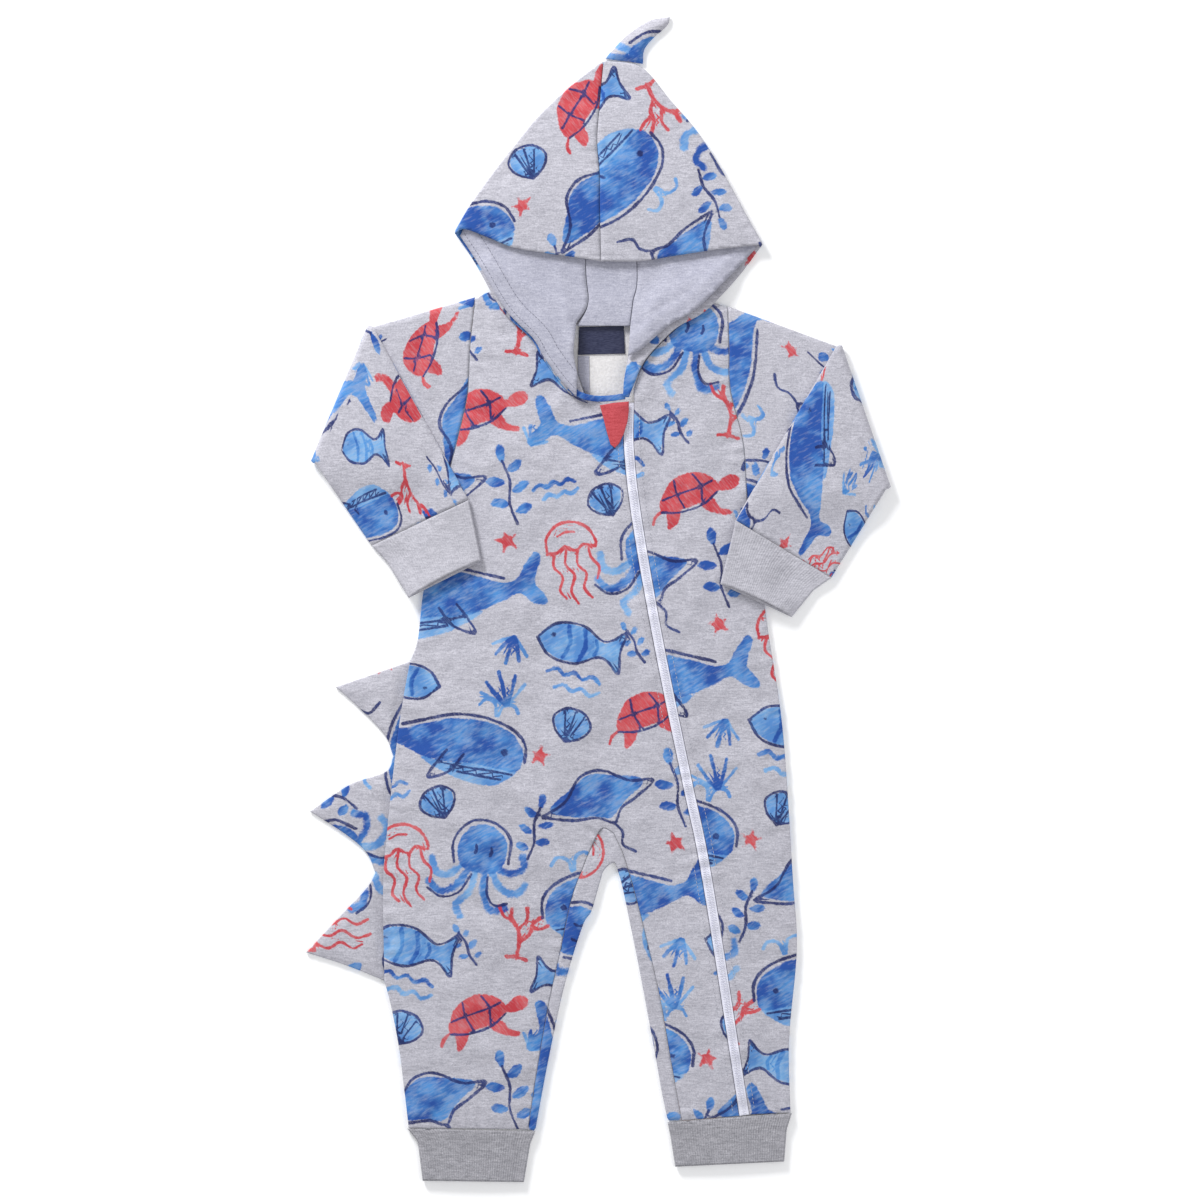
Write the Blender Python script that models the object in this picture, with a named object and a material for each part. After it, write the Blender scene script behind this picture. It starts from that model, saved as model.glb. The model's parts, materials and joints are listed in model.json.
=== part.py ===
"""A child's hooded one-piece pyjamas, laid flat on a surface with the front up.

Tables are in millimetres: X runs to the viewer's right, Y towards the hood and Z up from the surface.
Right and left are the wearer's, so the right side lies at negative X.
"""

import math

import bmesh
import bpy
import numpy as np
from mathutils import Vector
from mathutils.bvhtree import BVHTree
from mathutils.geometry import delaunay_2d_cdt

MM = 0.001

# Cloth, trim and the gaps between them
CLOTH = 2.0
LINING = 1.6
RIB = 2.0
LABEL_THICKNESS = 0.6
GUARD_THICKNESS = 1.2
GAP = 0.3
ZIP_WIDTH = 8.0
ZIP_THICKNESS = 1.6
ZIP_PROUD = 0.2

# How the laid cloth stands off what is under it
LOFT = 2.6
LOFT_REACH = 32.0
FLAP_LOFT = 2.2
FLAP_REACH = 26.0
LINING_SPREAD = 1.8
FOREARM_LOFT = 1.6
DRAPE_SLOPE = 0.34
DRAPE_REACH = 16.0
DRAPE_STEP = 5.0
DRAPE_TURNS = 12
ARM_SPREAD = 11.0
GUARD_SPREAD = 5.0
ABOVE_ALL = 60.0

# Fin and horn
FIN_THICKNESS = 3.4
FIN_ROOT = 5.0
FIN_STEP = 0.8
FIN_SHOULDER = 7.0
HORN_EDGE = 1.6
HORN_LOFT = 4.2
HORN_REACH = 8.0

# How far apart points lie along an outline and inside it
FRONT_GRID = 18.0
HOOD_GRID = 13.0
TRIM_GRID = 9.0
FINE_GRID = 6.0
OUTLINE_SHARE = 0.6
FOLD_SHARE = 0.8
CURVE_STEPS = 24
EDGE_STEP = 4.0
SAME_POINT = 0.8
EDGE_ROUND = 0.3

# Sleeves: points across, and the cross lines' places from armhole to elbow, round it and on to the cuff
SLEEVE_ACROSS = 10
UPPER_ARM_SHARES = (0, 0.25, 0.5, 0.75)
ELBOW_ANGLES = (0, 45, 90, 135, 180)
FOREARM_SHARES = (0.14, 0.3, 0.46, 0.62, 0.78, 0.92, 1)
ANKLE_ACROSS = 8

# Edges of the body, each from its upper end to its lower end
SHOULDER_R = [(-95, 235), (-82, 240), (-64, 229)]
BACK_NECK = [(-64, 229), (-41, 221), (-16, 216), (26, 216), (53, 221), (80, 229)]
SHOULDER_L = [(80, 229), (90, 232), (102, 228)]
FRONT_NECK_R = [(-64, 229), (-51, 211), (-32, 183), (-9, 160), (3, 154)]
FRONT_NECK_L = [(29, 155), (37, 168), (51, 189), (66, 211), (80, 229)]
ARMHOLE_R = [(-95, 235), (-99, 199), (-101, 161), (-107, 133), (-115, 101)]
ARMHOLE_L = [(102, 228), (103, 195), (104, 164), (114, 123), (117, 80)]
SIDE_R_UPPER = [(-115, 101), (-122, 62), (-130, 31), (-136, 4), (-140, -31), (-146, -48)]
SIDE_R_FIN = [(-146, -48), (-151, -75), (-156, -109), (-163, -171), (-167, -223), (-166, -297)]
SIDE_R_LOWER = [(-166, -297), (-161, -316), (-155, -347), (-151, -378), (-147, -412)]
SIDE_L = [(117, 80), (125, 43), (133, -20), (145, -101), (153, -218), (156, -273), (150, -343), (151, -400)]
ZIP_LINE = [(25, 154), (25, 118), (31, 64), (48, -33), (70, -140), (86, -218), (115, -402)]

# The piece that runs from ankle to ankle along the inner legs
GUSSET_SEAM_R = [(-54, -413), (-46, -362), (-38, -317), (-30, -280), (-20, -234), (-11, -209), (-3, -189)]
GUSSET_ARCH = [(-3, -189), (4, -178), (13, -182)]
GUSSET_SEAM_L = [(13, -182), (22, -203), (34, -246), (48, -305), (57, -356), (66, -406)]
INSEAM_R = [(-49, -414), (-39, -360), (-26, -300), (-12, -254), (-5, -242), (2, -218), (5, -210)]
CROTCH = [(5, -210), (13, -204), (17, -211)]
INSEAM_L = [(17, -211), (22, -230), (34, -289), (47, -359), (51, -382), (56, -406)]

# The hood, spread flat with its crown folded over to the front
SLOPE_R = [(-111, 286), (-98, 308), (-81, 332), (-63, 355), (-44, 378), (-18, 402), (5, 420)]
SLOPE_L = [(5, 420), (34, 415), (56, 390), (76, 367), (92, 343), (105, 320), (118, 296), (129, 277)]
FLAP_R = [(-111, 286), (-103, 289), (-86, 283), (-66, 275), (-44, 271), (-16, 267), (3, 264)]
FLAP_L = [(3, 264), (33, 264), (59, 268), (92, 273), (129, 277)]
FLAP_SEAM = [(5, 420), (2, 387), (0, 359), (2, 332), (2, 310), (3, 264)]
HOOD_BACK_SEAM = [(5, 420), (3, 216)]
RIM_R = [(-111, 286), (-96, 264), (-74, 226), (-52, 204), (-44, 191), (-30, 171), (-18, 158), (-7, 153)]
RIM_L = [(129, 277), (112, 254), (92, 232), (80, 222), (65, 214), (54, 205), (37, 186), (29, 168), (25, 158)]
COLLAR_R = [(-7, 153), (-15, 176), (-18, 193), (-16, 216)]
COLLAR_L = [(20, 158), (21, 172), (24, 190), (26, 216)]
LINING_RIM_R = [(-107, 284), (-94, 264), (-72, 227), (-50, 204), (-42, 190), (-28, 171), (-16, 158)]
LINING_RIM_L = [(125, 274), (109, 254), (89, 233), (76, 221), (60, 212), (48, 202), (36, 193)]
STRIP_R = [(-9, 380), (-9, 264), (-7, 232), (-16, 216)]
STRIP_L = [(17, 380), (31, 264), (28, 232), (26, 216)]
LINING_MIDDLE_R = [(1, 380), (2, 267)]
LINING_MIDDLE_L = [(3, 380), (4, 267)]
LINING_SHORT = 2.0

# The fin sewn into the right side seam, as the runs between its points and notches
FIN_RUNS = [
    [(-146, -48), (-204, -68)],
    [(-204, -68), (-187, -83), (-166, -105), (-159, -122)],
    [(-159, -122), (-165, -134), (-193, -144), (-224, -165)],
    [(-224, -165), (-196, -183), (-180, -197), (-173, -213)],
    [(-173, -213), (-180, -225), (-200, -246), (-227, -275)],
    [(-227, -275), (-196, -285), (-166, -297)],
]
HORN_OUTER = [(6, 422), (13, 430), (24, 441), (41, 452), (57, 455)]
HORN_INNER = [(57, 455), (55, 448), (44, 438), (37, 429), (36, 418)]

# Small pieces on the front and in the neck
GUARD = [(2, 153), (29, 155), (26, 140), (13, 117)]
LABEL = [(-14, 213), (21, 214), (22, 192), (-15, 191)]

# Sleeves: the elbow fold, then each cross line from the fold to the cuff, as upper and lower end
SLEEVES = {
    "right": {
        "armhole": ARMHOLE_R,
        "fold": [(-175, 212), (-219, 107)],
        "seam": [(-101, 78), (-175, 43)],
        "cuff": [[(-101, 78), (-175, 43)], [(-98, 64), (-163, 30)], [(-91, 30), (-146, 2)]],
    },
    "left": {
        "armhole": ARMHOLE_L,
        "fold": [(187, 197), (225, 87)],
        "seam": [(109, 62), (182, 18)],
        "cuff": [[(109, 62), (182, 18)], [(106, 48), (168, 8)], [(97, 12), (151, -13)]],
    },
}
ANKLE_CUFFS = {
    "right": [[(-147, -412), (-49, -414)], [(-139, -422), (-53, -424)], [(-135, -453), (-58, -454)]],
    "left": [[(56, -407), (151, -400)], [(58, -417), (147, -413)], [(62, -442), (145, -438)]],
}

# Soft folds in the front: both ends, height over the cloth and half width
FOLDS = [
    {"start": (32, 10), "end": (45, -92), "height": 0.9, "width": 9},
    {"start": (-8, -176), "end": (-84, -142), "height": 0.8, "width": 14},
    {"start": (16, -172), "end": (60, -176), "height": 0.7, "width": 13},
    {"start": (-30, 150), "end": (-84, 106), "height": 0.8, "width": 15},
    {"start": (-128, -250), "end": (-60, -262), "height": 0.7, "width": 16},
    {"start": (136, -236), "end": (98, -262), "height": 0.6, "width": 13},
    {"start": (-112, 20), "end": (-60, -14), "height": 0.7, "width": 16},
]

COLOURS = {
    "jersey": (0.62, 0.62, 0.66),
    "lining": (0.56, 0.57, 0.66),
    "rib": (0.55, 0.56, 0.60),
    "zip": (0.80, 0.80, 0.90),
    "print": (0.10, 0.25, 0.62),
    "guard": (0.72, 0.10, 0.11),
    "label": (0.02, 0.03, 0.09),
}
CLOTH_ROUGHNESS = 0.92

laid = []


def smooth(points, step):
    """A curve through the points, read about every step millimetres, both ends included."""
    p = np.array(points, float)
    if len(p) == 2:
        dense = p[0] + np.linspace(0, 1, 2 * CURVE_STEPS + 1)[:, None] * (p[1] - p[0])
    else:
        ends = np.vstack([2 * p[0] - p[1], p, 2 * p[-1] - p[-2]])
        t = np.linspace(0, 1, CURVE_STEPS, endpoint=False)[:, None]
        runs = []
        for a, b, c, d in zip(ends, ends[1:], ends[2:], ends[3:]):
            runs.append(
                b
                + 0.5 * t * (c - a)
                + t**2 * (a - 2.5 * b + 2 * c - 0.5 * d)
                + t**3 * (1.5 * b - 1.5 * c + 0.5 * (d - a))
            )
        dense = np.vstack(runs + [p[-1:]])
    along = np.concatenate([[0], np.cumsum(np.linalg.norm(np.diff(dense, axis=0), axis=1))])
    places = np.linspace(0, along[-1], max(2, round(along[-1] / step) + 1))
    return np.column_stack([np.interp(places, along, dense[:, k]) for k in (0, 1)])


def back_along(points):
    return points[::-1]


def joined(runs, step):
    """One closed outline from runs that follow each other, each smoothed on its own."""
    rows = []
    for run in runs:
        for point in smooth(run, step):
            if not rows or np.linalg.norm(point - rows[-1]) > SAME_POINT:
                rows.append(point)
    if np.linalg.norm(rows[0] - rows[-1]) < SAME_POINT:
        rows.pop()
    return np.array(rows)


def normals(line, closed):
    """The unit normal on the left of a line at each of its points."""
    before, after = np.roll(line, 1, axis=0), np.roll(line, -1, axis=0)
    if not closed:
        before[0], after[-1] = line[0], line[-1]
    along = after - before
    along /= np.maximum(np.linalg.norm(along, axis=1), 1e-9)[:, None]
    return np.column_stack([-along[:, 1], along[:, 0]])


def area(outline):
    x, y = outline.T
    return 0.5 * float(np.sum(x * np.roll(y, -1) - y * np.roll(x, -1)))


def inset(outline, amount):
    return outline + normals(outline, True) * amount * (1 if area(outline) > 0 else -1)


def beside(points, amount):
    """The same line moved to its left by amount."""
    line = smooth(points, EDGE_STEP)
    return line + normals(line, False) * amount


def within(outline, points):
    a, b = outline, np.roll(outline, -1, axis=0)
    x, y = points[:, :1], points[:, 1:2]
    spans = (a[:, 1] > y) != (b[:, 1] > y)
    rise = np.where(np.abs(b[:, 1] - a[:, 1]) < 1e-12, 1e-12, b[:, 1] - a[:, 1])
    crossing = a[:, 0] + (y - a[:, 1]) * (b[:, 0] - a[:, 0]) / rise
    return (spans & (x < crossing)).sum(axis=1) % 2 == 1


def distance(line, points, closed=True):
    """How far each point lies from a line."""
    a = line if closed else line[:-1]
    b = np.roll(line, -1, axis=0) if closed else line[1:]
    run = b - a
    to = points[:, None, :] - a[None]
    t = np.clip((to * run).sum(-1) / np.maximum((run**2).sum(-1), 1e-12), 0, 1)
    return np.linalg.norm(to - t[..., None] * run, axis=-1).min(axis=1)


def ease(t):
    t = np.clip(t, 0, 1)
    return t * t * (3 - 2 * t)


def grid_inside(outline, spacing, keep_off=0.55):
    """Staggered rows of points inside an outline, clear of its edge."""
    low, high = outline.min(axis=0), outline.max(axis=0)
    row_step = spacing * math.sqrt(3) / 2
    rows = []
    for k in range(math.ceil((high[1] - low[1]) / row_step)):
        y = low[1] + (k + 0.5) * row_step
        x = np.arange(low[0] + spacing * (0.25 + 0.5 * (k % 2)), high[0], spacing)
        rows.append(np.column_stack([x, np.full(len(x), y)]))
    points = np.vstack(rows)
    clear = within(outline, points)
    points = points[clear]
    return points[distance(outline, points) > keep_off * spacing]


def flat_mesh(outline, inside, lines=()):
    """Points, triangles and the outline's own point numbers of a flat outline filled with triangles."""
    given = [Vector(p) for p in outline]
    edges = []
    for line in lines:
        first = len(given)
        given += [Vector(p) for p in line]
        edges += [(first + k, first + k + 1) for k in range(len(line) - 1)]
    given += [Vector(p) for p in inside]
    made = delaunay_2d_cdt(given, edges, [list(range(len(outline)))], 1, 1e-5)
    points, triangles, sources = made[0], made[2], made[3]
    number = {old: new for new, olds in enumerate(sources) for old in olds}
    return np.array(points), [tuple(t) for t in triangles], [number[k] for k in range(len(outline))]


def material(name, finish):
    made = bpy.data.materials.new(name)
    made.use_nodes = True
    shader = made.node_tree.nodes["Principled BSDF"]
    shader.inputs["Base Color"].default_value = (*COLOURS[finish], 1)
    shader.inputs["Roughness"].default_value = CLOTH_ROUGHNESS
    shader.inputs["Metallic"].default_value = 0.0
    return made


def make_object(name, points, faces, finish):
    """One closed solid from points in millimetres, with its faces turned outwards."""
    mesh = bpy.data.meshes.new(name)
    mesh.from_pydata([tuple(p) for p in np.asarray(points) * MM], [], [tuple(f) for f in faces])
    work = bmesh.new()
    work.from_mesh(mesh)
    bmesh.ops.triangulate(work, faces=[f for f in work.faces if len(f.verts) > 3])
    bmesh.ops.recalc_face_normals(work, faces=work.faces)
    work.to_mesh(mesh)
    work.free()
    mesh.shade_smooth()
    mesh.set_sharp_from_angle(angle=math.radians(40))
    mesh.materials.append(material(f"{finish} of {name}", finish))
    solid = bpy.data.objects.new(name, mesh)
    bpy.context.scene.collection.objects.link(solid)
    laid.append(BVHTree.FromPolygons([tuple(p) for p in points], [tuple(f) for f in faces]))
    return solid


def top_under(points, trees):
    """The highest surface under each point, and 0 where there is only the floor."""
    down = Vector((0, 0, -1))
    tops = np.zeros(len(points))
    for k, (x, y) in enumerate(points):
        for tree in trees:
            hit = tree.ray_cast(Vector((x, y, ABOVE_ALL)), down)[0]
            if hit is not None:
                tops[k] = max(tops[k], hit.z)
    return tops


def rest_on(points, trees, spread):
    """The underside of cloth laid over what is there: clear of it within spread, then sloping off."""
    height = np.zeros(len(points))
    for radius in [0, 0.5 * spread, *np.arange(spread, spread + DRAPE_REACH, DRAPE_STEP)]:
        turns = 1 if radius == 0 else DRAPE_TURNS
        for k in range(turns):
            angle = 2 * math.pi * k / turns
            moved = points + radius * np.array([math.cos(angle), math.sin(angle)])
            height = np.maximum(height, top_under(moved, trees) - DRAPE_SLOPE * max(0, radius - spread))
    return height + GAP * np.clip(height / CLOTH, 0, 1)


def wall(faces, low, high, ring):
    for a, b in zip(ring, ring[1:] + ring[:1]):
        faces.append((low + a, low + b, high + b, high + a))


def sheet(name, outline, under, thickness, grid, finish, lines=()):
    """A layer of cloth: its outline in plan, its underside's height and its thickness at each point."""
    outline = inset(outline, GAP / 2)
    points, triangles, ring = flat_mesh(outline, grid_inside(outline, grid) if grid else [], lines)
    low = under(points)
    high = low + (thickness(points) if callable(thickness) else thickness)
    n = len(points)
    faces = [t[::-1] for t in triangles] + [tuple(n + k for k in t) for t in triangles]
    wall(faces, 0, n, ring)
    return make_object(name, np.vstack([np.c_[points, low], np.c_[points, high]]), faces, finish)


def folded(name, fold, lower_rest, upper_rest, under, over, thickness, grid, finish):
    """Cloth folded over along a line: a lower and an upper layer with a rounded edge between them."""
    step = grid * FOLD_SHARE
    edge_count = len(smooth(fold, step)) - 1
    layers = []
    for rest, height in ((lower_rest, under), (upper_rest, over)):
        outline = inset(joined([fold] + rest, step), GAP / 2)
        points, triangles, ring = flat_mesh(outline, grid_inside(outline, grid))
        layers.append((points, triangles, ring, height(points)))
    (p, tri_p, ring_p, z_p), (q, tri_q, ring_q, z_q) = layers
    inward = normals(smooth(fold, step), False) * (1 if area(outline) > 0 else -1)
    inner_p, inner_q = p.copy(), q.copy()
    for k in range(1, edge_count):
        inner_p[ring_p[k]] += inward[k] * thickness
        inner_q[ring_q[k]] += inward[k] * thickness
    n, m = len(p), len(q)
    points = [np.c_[p, z_p], np.c_[inner_p, z_p + thickness], np.c_[inner_q, z_q], np.c_[q, z_q + thickness]]
    starts = [0, n, 2 * n, 2 * n + m]
    faces = []
    for triangles, bottom, top in ((tri_p, starts[0], starts[1]), (tri_q, starts[2], starts[3])):
        faces += [tuple(bottom + k for k in t[::-1]) for t in triangles]
        faces += [tuple(top + k for k in t) for t in triangles]
    for ring, bottom, top in ((ring_p, starts[0], starts[1]), (ring_q, starts[2], starts[3])):
        for k in range(edge_count, len(ring)):
            a, b = ring[k], ring[(k + 1) % len(ring)]
            faces.append((bottom + a, bottom + b, top + b, top + a))
    columns = []
    total = 2 * n + 2 * m
    for k in range(edge_count + 1):
        a, b = ring_p[k], ring_q[k]
        if k in (0, edge_count):
            columns.append([starts[0] + a, starts[1] + a, starts[2] + b, starts[3] + b])
            continue
        bottom, top = z_p[a], z_q[b] + thickness
        out = p[a] - inward[k] * 0.5 * thickness
        rounding = EDGE_ROUND * (top - bottom)
        points.append(np.array([[*out, bottom + rounding], [*out, top - rounding]]))
        columns.append([starts[0] + a, total, total + 1, starts[3] + b])
        total += 2
    for k in range(edge_count):
        for one, two in zip(range(3), range(1, 4)):
            faces.append((columns[k][one], columns[k + 1][one], columns[k + 1][two], columns[k][two]))
        a, b, c, d = ring_p[k], ring_p[k + 1], ring_q[k + 1], ring_q[k]
        faces.append((starts[1] + a, starts[1] + b, starts[2] + c, starts[2] + d))
    return make_object(name, np.vstack(points), faces, finish)


def ring_pair(line, first, second, thickness):
    """The outer and inner ring of a flattened tube across a line, from the heights of its two faces."""
    turn = np.sign(np.mean(second - first))
    across = line[-1] - line[0]
    across = across / np.linalg.norm(across)
    rings = []
    for shrink in (0.0, thickness):
        reach = np.linspace(1, -1, len(line))[:, None] * across * shrink
        row = line + reach
        one, two = first + turn * shrink, second - turn * shrink
        rim = 0.0 if shrink else 0.5 * thickness
        middle_b, middle_a = 0.5 * (one[-1] + two[-1]), 0.5 * (one[0] + two[0])
        rings.append(
            np.vstack(
                [
                    np.c_[row, one],
                    [[*(row[-1] + across * rim), middle_b]],
                    np.c_[row, two][::-1],
                    [[*(row[0] - across * rim), middle_a]],
                ]
            )
        )
    return rings


def tube(name, stations, finish):
    """A closed wall of cloth through pairs of rings, open at both ends."""
    count = len(stations[0][0])
    points = np.vstack([np.vstack(pair) for pair in stations])
    faces = []
    for s in range(len(stations) - 1):
        here, there = 2 * count * s, 2 * count * (s + 1)
        for shift in (0, count):
            for k in range(count):
                a, b = shift + k, shift + (k + 1) % count
                faces.append((here + a, here + b, there + b, there + a))
    for start in (0, 2 * count * (len(stations) - 1)):
        for k in range(count):
            b = (k + 1) % count
            faces.append((start + k, start + b, start + count + b, start + count + k))
    return make_object(name, points, faces, finish)


def turned(rings, out, axis_height, angle):
    """Rings turned about the elbow fold, which lies along them at axis_height."""
    made = []
    for ring in rings:
        reach = axis_height - ring[:, 2]
        plan = ring[:, :2] + np.outer(reach * math.sin(angle), out)
        made.append(np.c_[plan, axis_height - reach * math.cos(angle)])
    return made


def cross_line(start, end, count):
    return np.array(start, float) + np.linspace(0, 1, count)[:, None] * (np.array(end, float) - start)


def body_outline(fin_root=0.0):
    side_fin = beside(SIDE_R_FIN, fin_root) if fin_root else SIDE_R_FIN
    return joined(
        [SHOULDER_R, BACK_NECK, SHOULDER_L, ARMHOLE_L, SIDE_L, [SIDE_L[-1], GUSSET_SEAM_L[-1]]]
        + [back_along(run) for run in (GUSSET_SEAM_L, GUSSET_ARCH, GUSSET_SEAM_R)]
        + [[GUSSET_SEAM_R[0], SIDE_R_LOWER[-1]]]
        + [back_along(run) for run in (SIDE_R_LOWER, side_fin, SIDE_R_UPPER, ARMHOLE_R)],
        FRONT_GRID * OUTLINE_SHARE,
    )


def front_height(points):
    """The underside of the front, which stands a little off the back away from the seams."""
    body = body_outline()
    rise = LOFT * (1 - np.exp(-((distance(body, points) / LOFT_REACH) ** 2)))
    for fold in FOLDS:
        line = np.array([fold["start"], fold["end"]], float)
        bump = np.exp(-((distance(line, points, False) / fold["width"]) ** 2))
        rise += fold["height"] * bump * (rise / LOFT)
    return CLOTH + GAP + rise


def make_body():
    half = ZIP_WIDTH / 2
    edge_r, edge_l = beside(ZIP_LINE, -half), beside(ZIP_LINE, half)
    back = body_outline(FIN_ROOT + GAP)
    sheet("back", back, lambda p: np.zeros(len(p)), CLOTH, 0, "jersey")
    right = joined(
        [SHOULDER_R, FRONT_NECK_R, [FRONT_NECK_R[-1], edge_r[0]], edge_r, [edge_r[-1], GUSSET_SEAM_L[-1]]]
        + [back_along(run) for run in (GUSSET_SEAM_L, GUSSET_ARCH, GUSSET_SEAM_R)]
        + [[GUSSET_SEAM_R[0], SIDE_R_LOWER[-1]]]
        + [back_along(run) for run in (SIDE_R_LOWER, SIDE_R_FIN, SIDE_R_UPPER, ARMHOLE_R)],
        FRONT_GRID * OUTLINE_SHARE,
    )
    sheet("front_right", right, front_height, CLOTH, FRONT_GRID, "print")
    left = joined(
        [FRONT_NECK_L, SHOULDER_L, ARMHOLE_L, SIDE_L, [SIDE_L[-1], edge_l[-1]], back_along(edge_l)],
        FRONT_GRID * OUTLINE_SHARE,
    )
    sheet("front_left", left, front_height, CLOTH, FRONT_GRID, "print")
    teeth = joined([edge_r, [edge_r[-1], edge_l[-1]], back_along(edge_l)], FRONT_GRID * OUTLINE_SHARE)
    sheet("front_zip", teeth, lambda p: front_height(p) + ZIP_PROUD, ZIP_THICKNESS, 0, "zip")


def make_gusset():
    fold = INSEAM_R + CROTCH[1:] + INSEAM_L[1:]
    rest = [[INSEAM_L[-1], GUSSET_SEAM_L[-1]]]
    rest += [back_along(run) for run in (GUSSET_SEAM_L, GUSSET_ARCH, GUSSET_SEAM_R)]
    folded(
        "inner_leg_gusset",
        fold,
        rest,
        rest,
        lambda p: np.zeros(len(p)),
        lambda p: np.full(len(p), CLOTH + GAP),
        CLOTH,
        FRONT_GRID * OUTLINE_SHARE / FOLD_SHARE,
        "print",
    )


def make_fin():
    edge = beside(SIDE_R_FIN, -FIN_STEP)
    root = beside(SIDE_R_FIN, FIN_ROOT)
    outline = joined(FIN_RUNS + [[FIN_RUNS[-1][-1], root[-1]], back_along(root)], TRIM_GRID)
    body = body_outline()

    def thickness(points):
        outside = np.where(within(body, points), 0, distance(body, points))
        return CLOTH + (FIN_THICKNESS - CLOTH) * ease((outside - 1) / FIN_SHOULDER)

    line = smooth(edge[3:-3], TRIM_GRID)
    sheet("side_spikes", outline, lambda p: np.zeros(len(p)), thickness, TRIM_GRID, "print", [line])


def crown_rise(points):
    crown = joined([SLOPE_R, SLOPE_L, back_along(FLAP_L), back_along(FLAP_R)], HOOD_GRID)
    return FLAP_LOFT * (1 - np.exp(-((distance(crown, points) / FLAP_REACH) ** 2)))


def make_hood(body):
    crown_level = CLOTH + 2 * LINING + 3 * GAP
    seam, nape = HOOD_BACK_SEAM, HOOD_BACK_SEAM[-1]
    lower = {
        "right": [seam, [nape, COLLAR_R[-1]], back_along(COLLAR_R), back_along(RIM_R)],
        "left": [RIM_L, [RIM_L[-1], COLLAR_L[0]], COLLAR_L, [COLLAR_L[-1], nape], back_along(seam)],
    }
    upper = {
        "right": [FLAP_SEAM, back_along(FLAP_R)],
        "left": [back_along(FLAP_L), back_along(FLAP_SEAM)],
    }
    for side, fold in (("right", SLOPE_R), ("left", SLOPE_L)):
        folded(
            f"hood_{side}",
            fold,
            lower[side],
            upper[side],
            lambda p: rest_on(p, body, HOOD_GRID),
            lambda p: crown_level + crown_rise(p),
            CLOTH,
            HOOD_GRID,
            "print",
        )


def inward(points, amount):
    """A hood edge moved in for the lining, without its two end points."""
    line = smooth(points, EDGE_STEP)
    return [tuple(p) for p in (line - normals(line, False) * amount)[1:-1]]


def make_lining(body):
    def under(points):
        return CLOTH + GAP + rest_on(points, body, HOOD_GRID * LINING_SPREAD)

    def over(points):
        return np.full(len(points), CLOTH + LINING + 2 * GAP)

    turn = CLOTH + LINING
    fold_r, fold_l = inward(SLOPE_R, turn)[2:], inward(SLOPE_L, turn)[:-2]
    rim_r, rim_l = back_along(LINING_RIM_R), LINING_RIM_L
    flap_r = inward(back_along(FLAP_R), LINING_SHORT)[:-2]
    flap_l = inward(back_along(FLAP_L), LINING_SHORT)[2:]
    collar_r = back_along(COLLAR_R)[:-1]
    lower_r = [[fold_r[-1], STRIP_R[0]], STRIP_R, collar_r]
    lower_r += [[collar_r[-1], rim_r[0]], rim_r, [rim_r[-1], fold_r[0]]]
    upper_r = [[fold_r[-1], LINING_MIDDLE_R[0]], LINING_MIDDLE_R, flap_r, [flap_r[-1], fold_r[0]]]
    folded("hood_lining_right", fold_r, lower_r, upper_r, under, over, LINING, HOOD_GRID, "lining")
    collar_l = COLLAR_L[2:]
    lower_l = [[fold_l[-1], rim_l[0]], rim_l, [rim_l[-1], collar_l[0]], collar_l]
    lower_l += [back_along(STRIP_L), [STRIP_L[0], fold_l[0]]]
    middle_l = back_along(LINING_MIDDLE_L)
    upper_l = [[fold_l[-1], flap_l[0]], flap_l, middle_l, [middle_l[-1], fold_l[0]]]
    folded("hood_lining_left", fold_l, lower_l, upper_l, under, over, LINING, HOOD_GRID, "lining")
    strip = [STRIP_R, [STRIP_R[-1], STRIP_L[-1]], back_along(STRIP_L), [STRIP_L[0], STRIP_R[0]]]
    outline = joined(strip, HOOD_GRID * FOLD_SHARE)
    sheet("hood_lining_centre", outline, under, LINING, HOOD_GRID, "lining")


def make_horn():
    outline = joined([HORN_OUTER, HORN_INNER, [HORN_INNER[-1], HORN_OUTER[0]]], FINE_GRID)
    edge = inset(outline, GAP / 2)

    def thickness(points):
        share = np.clip(distance(edge, points) / HORN_REACH, 0, 1)
        return HORN_EDGE + HORN_LOFT * np.sqrt(1 - (1 - share) ** 2)

    sheet("hood_horn", outline, lambda p: np.zeros(len(p)), thickness, FINE_GRID, "print")


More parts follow.
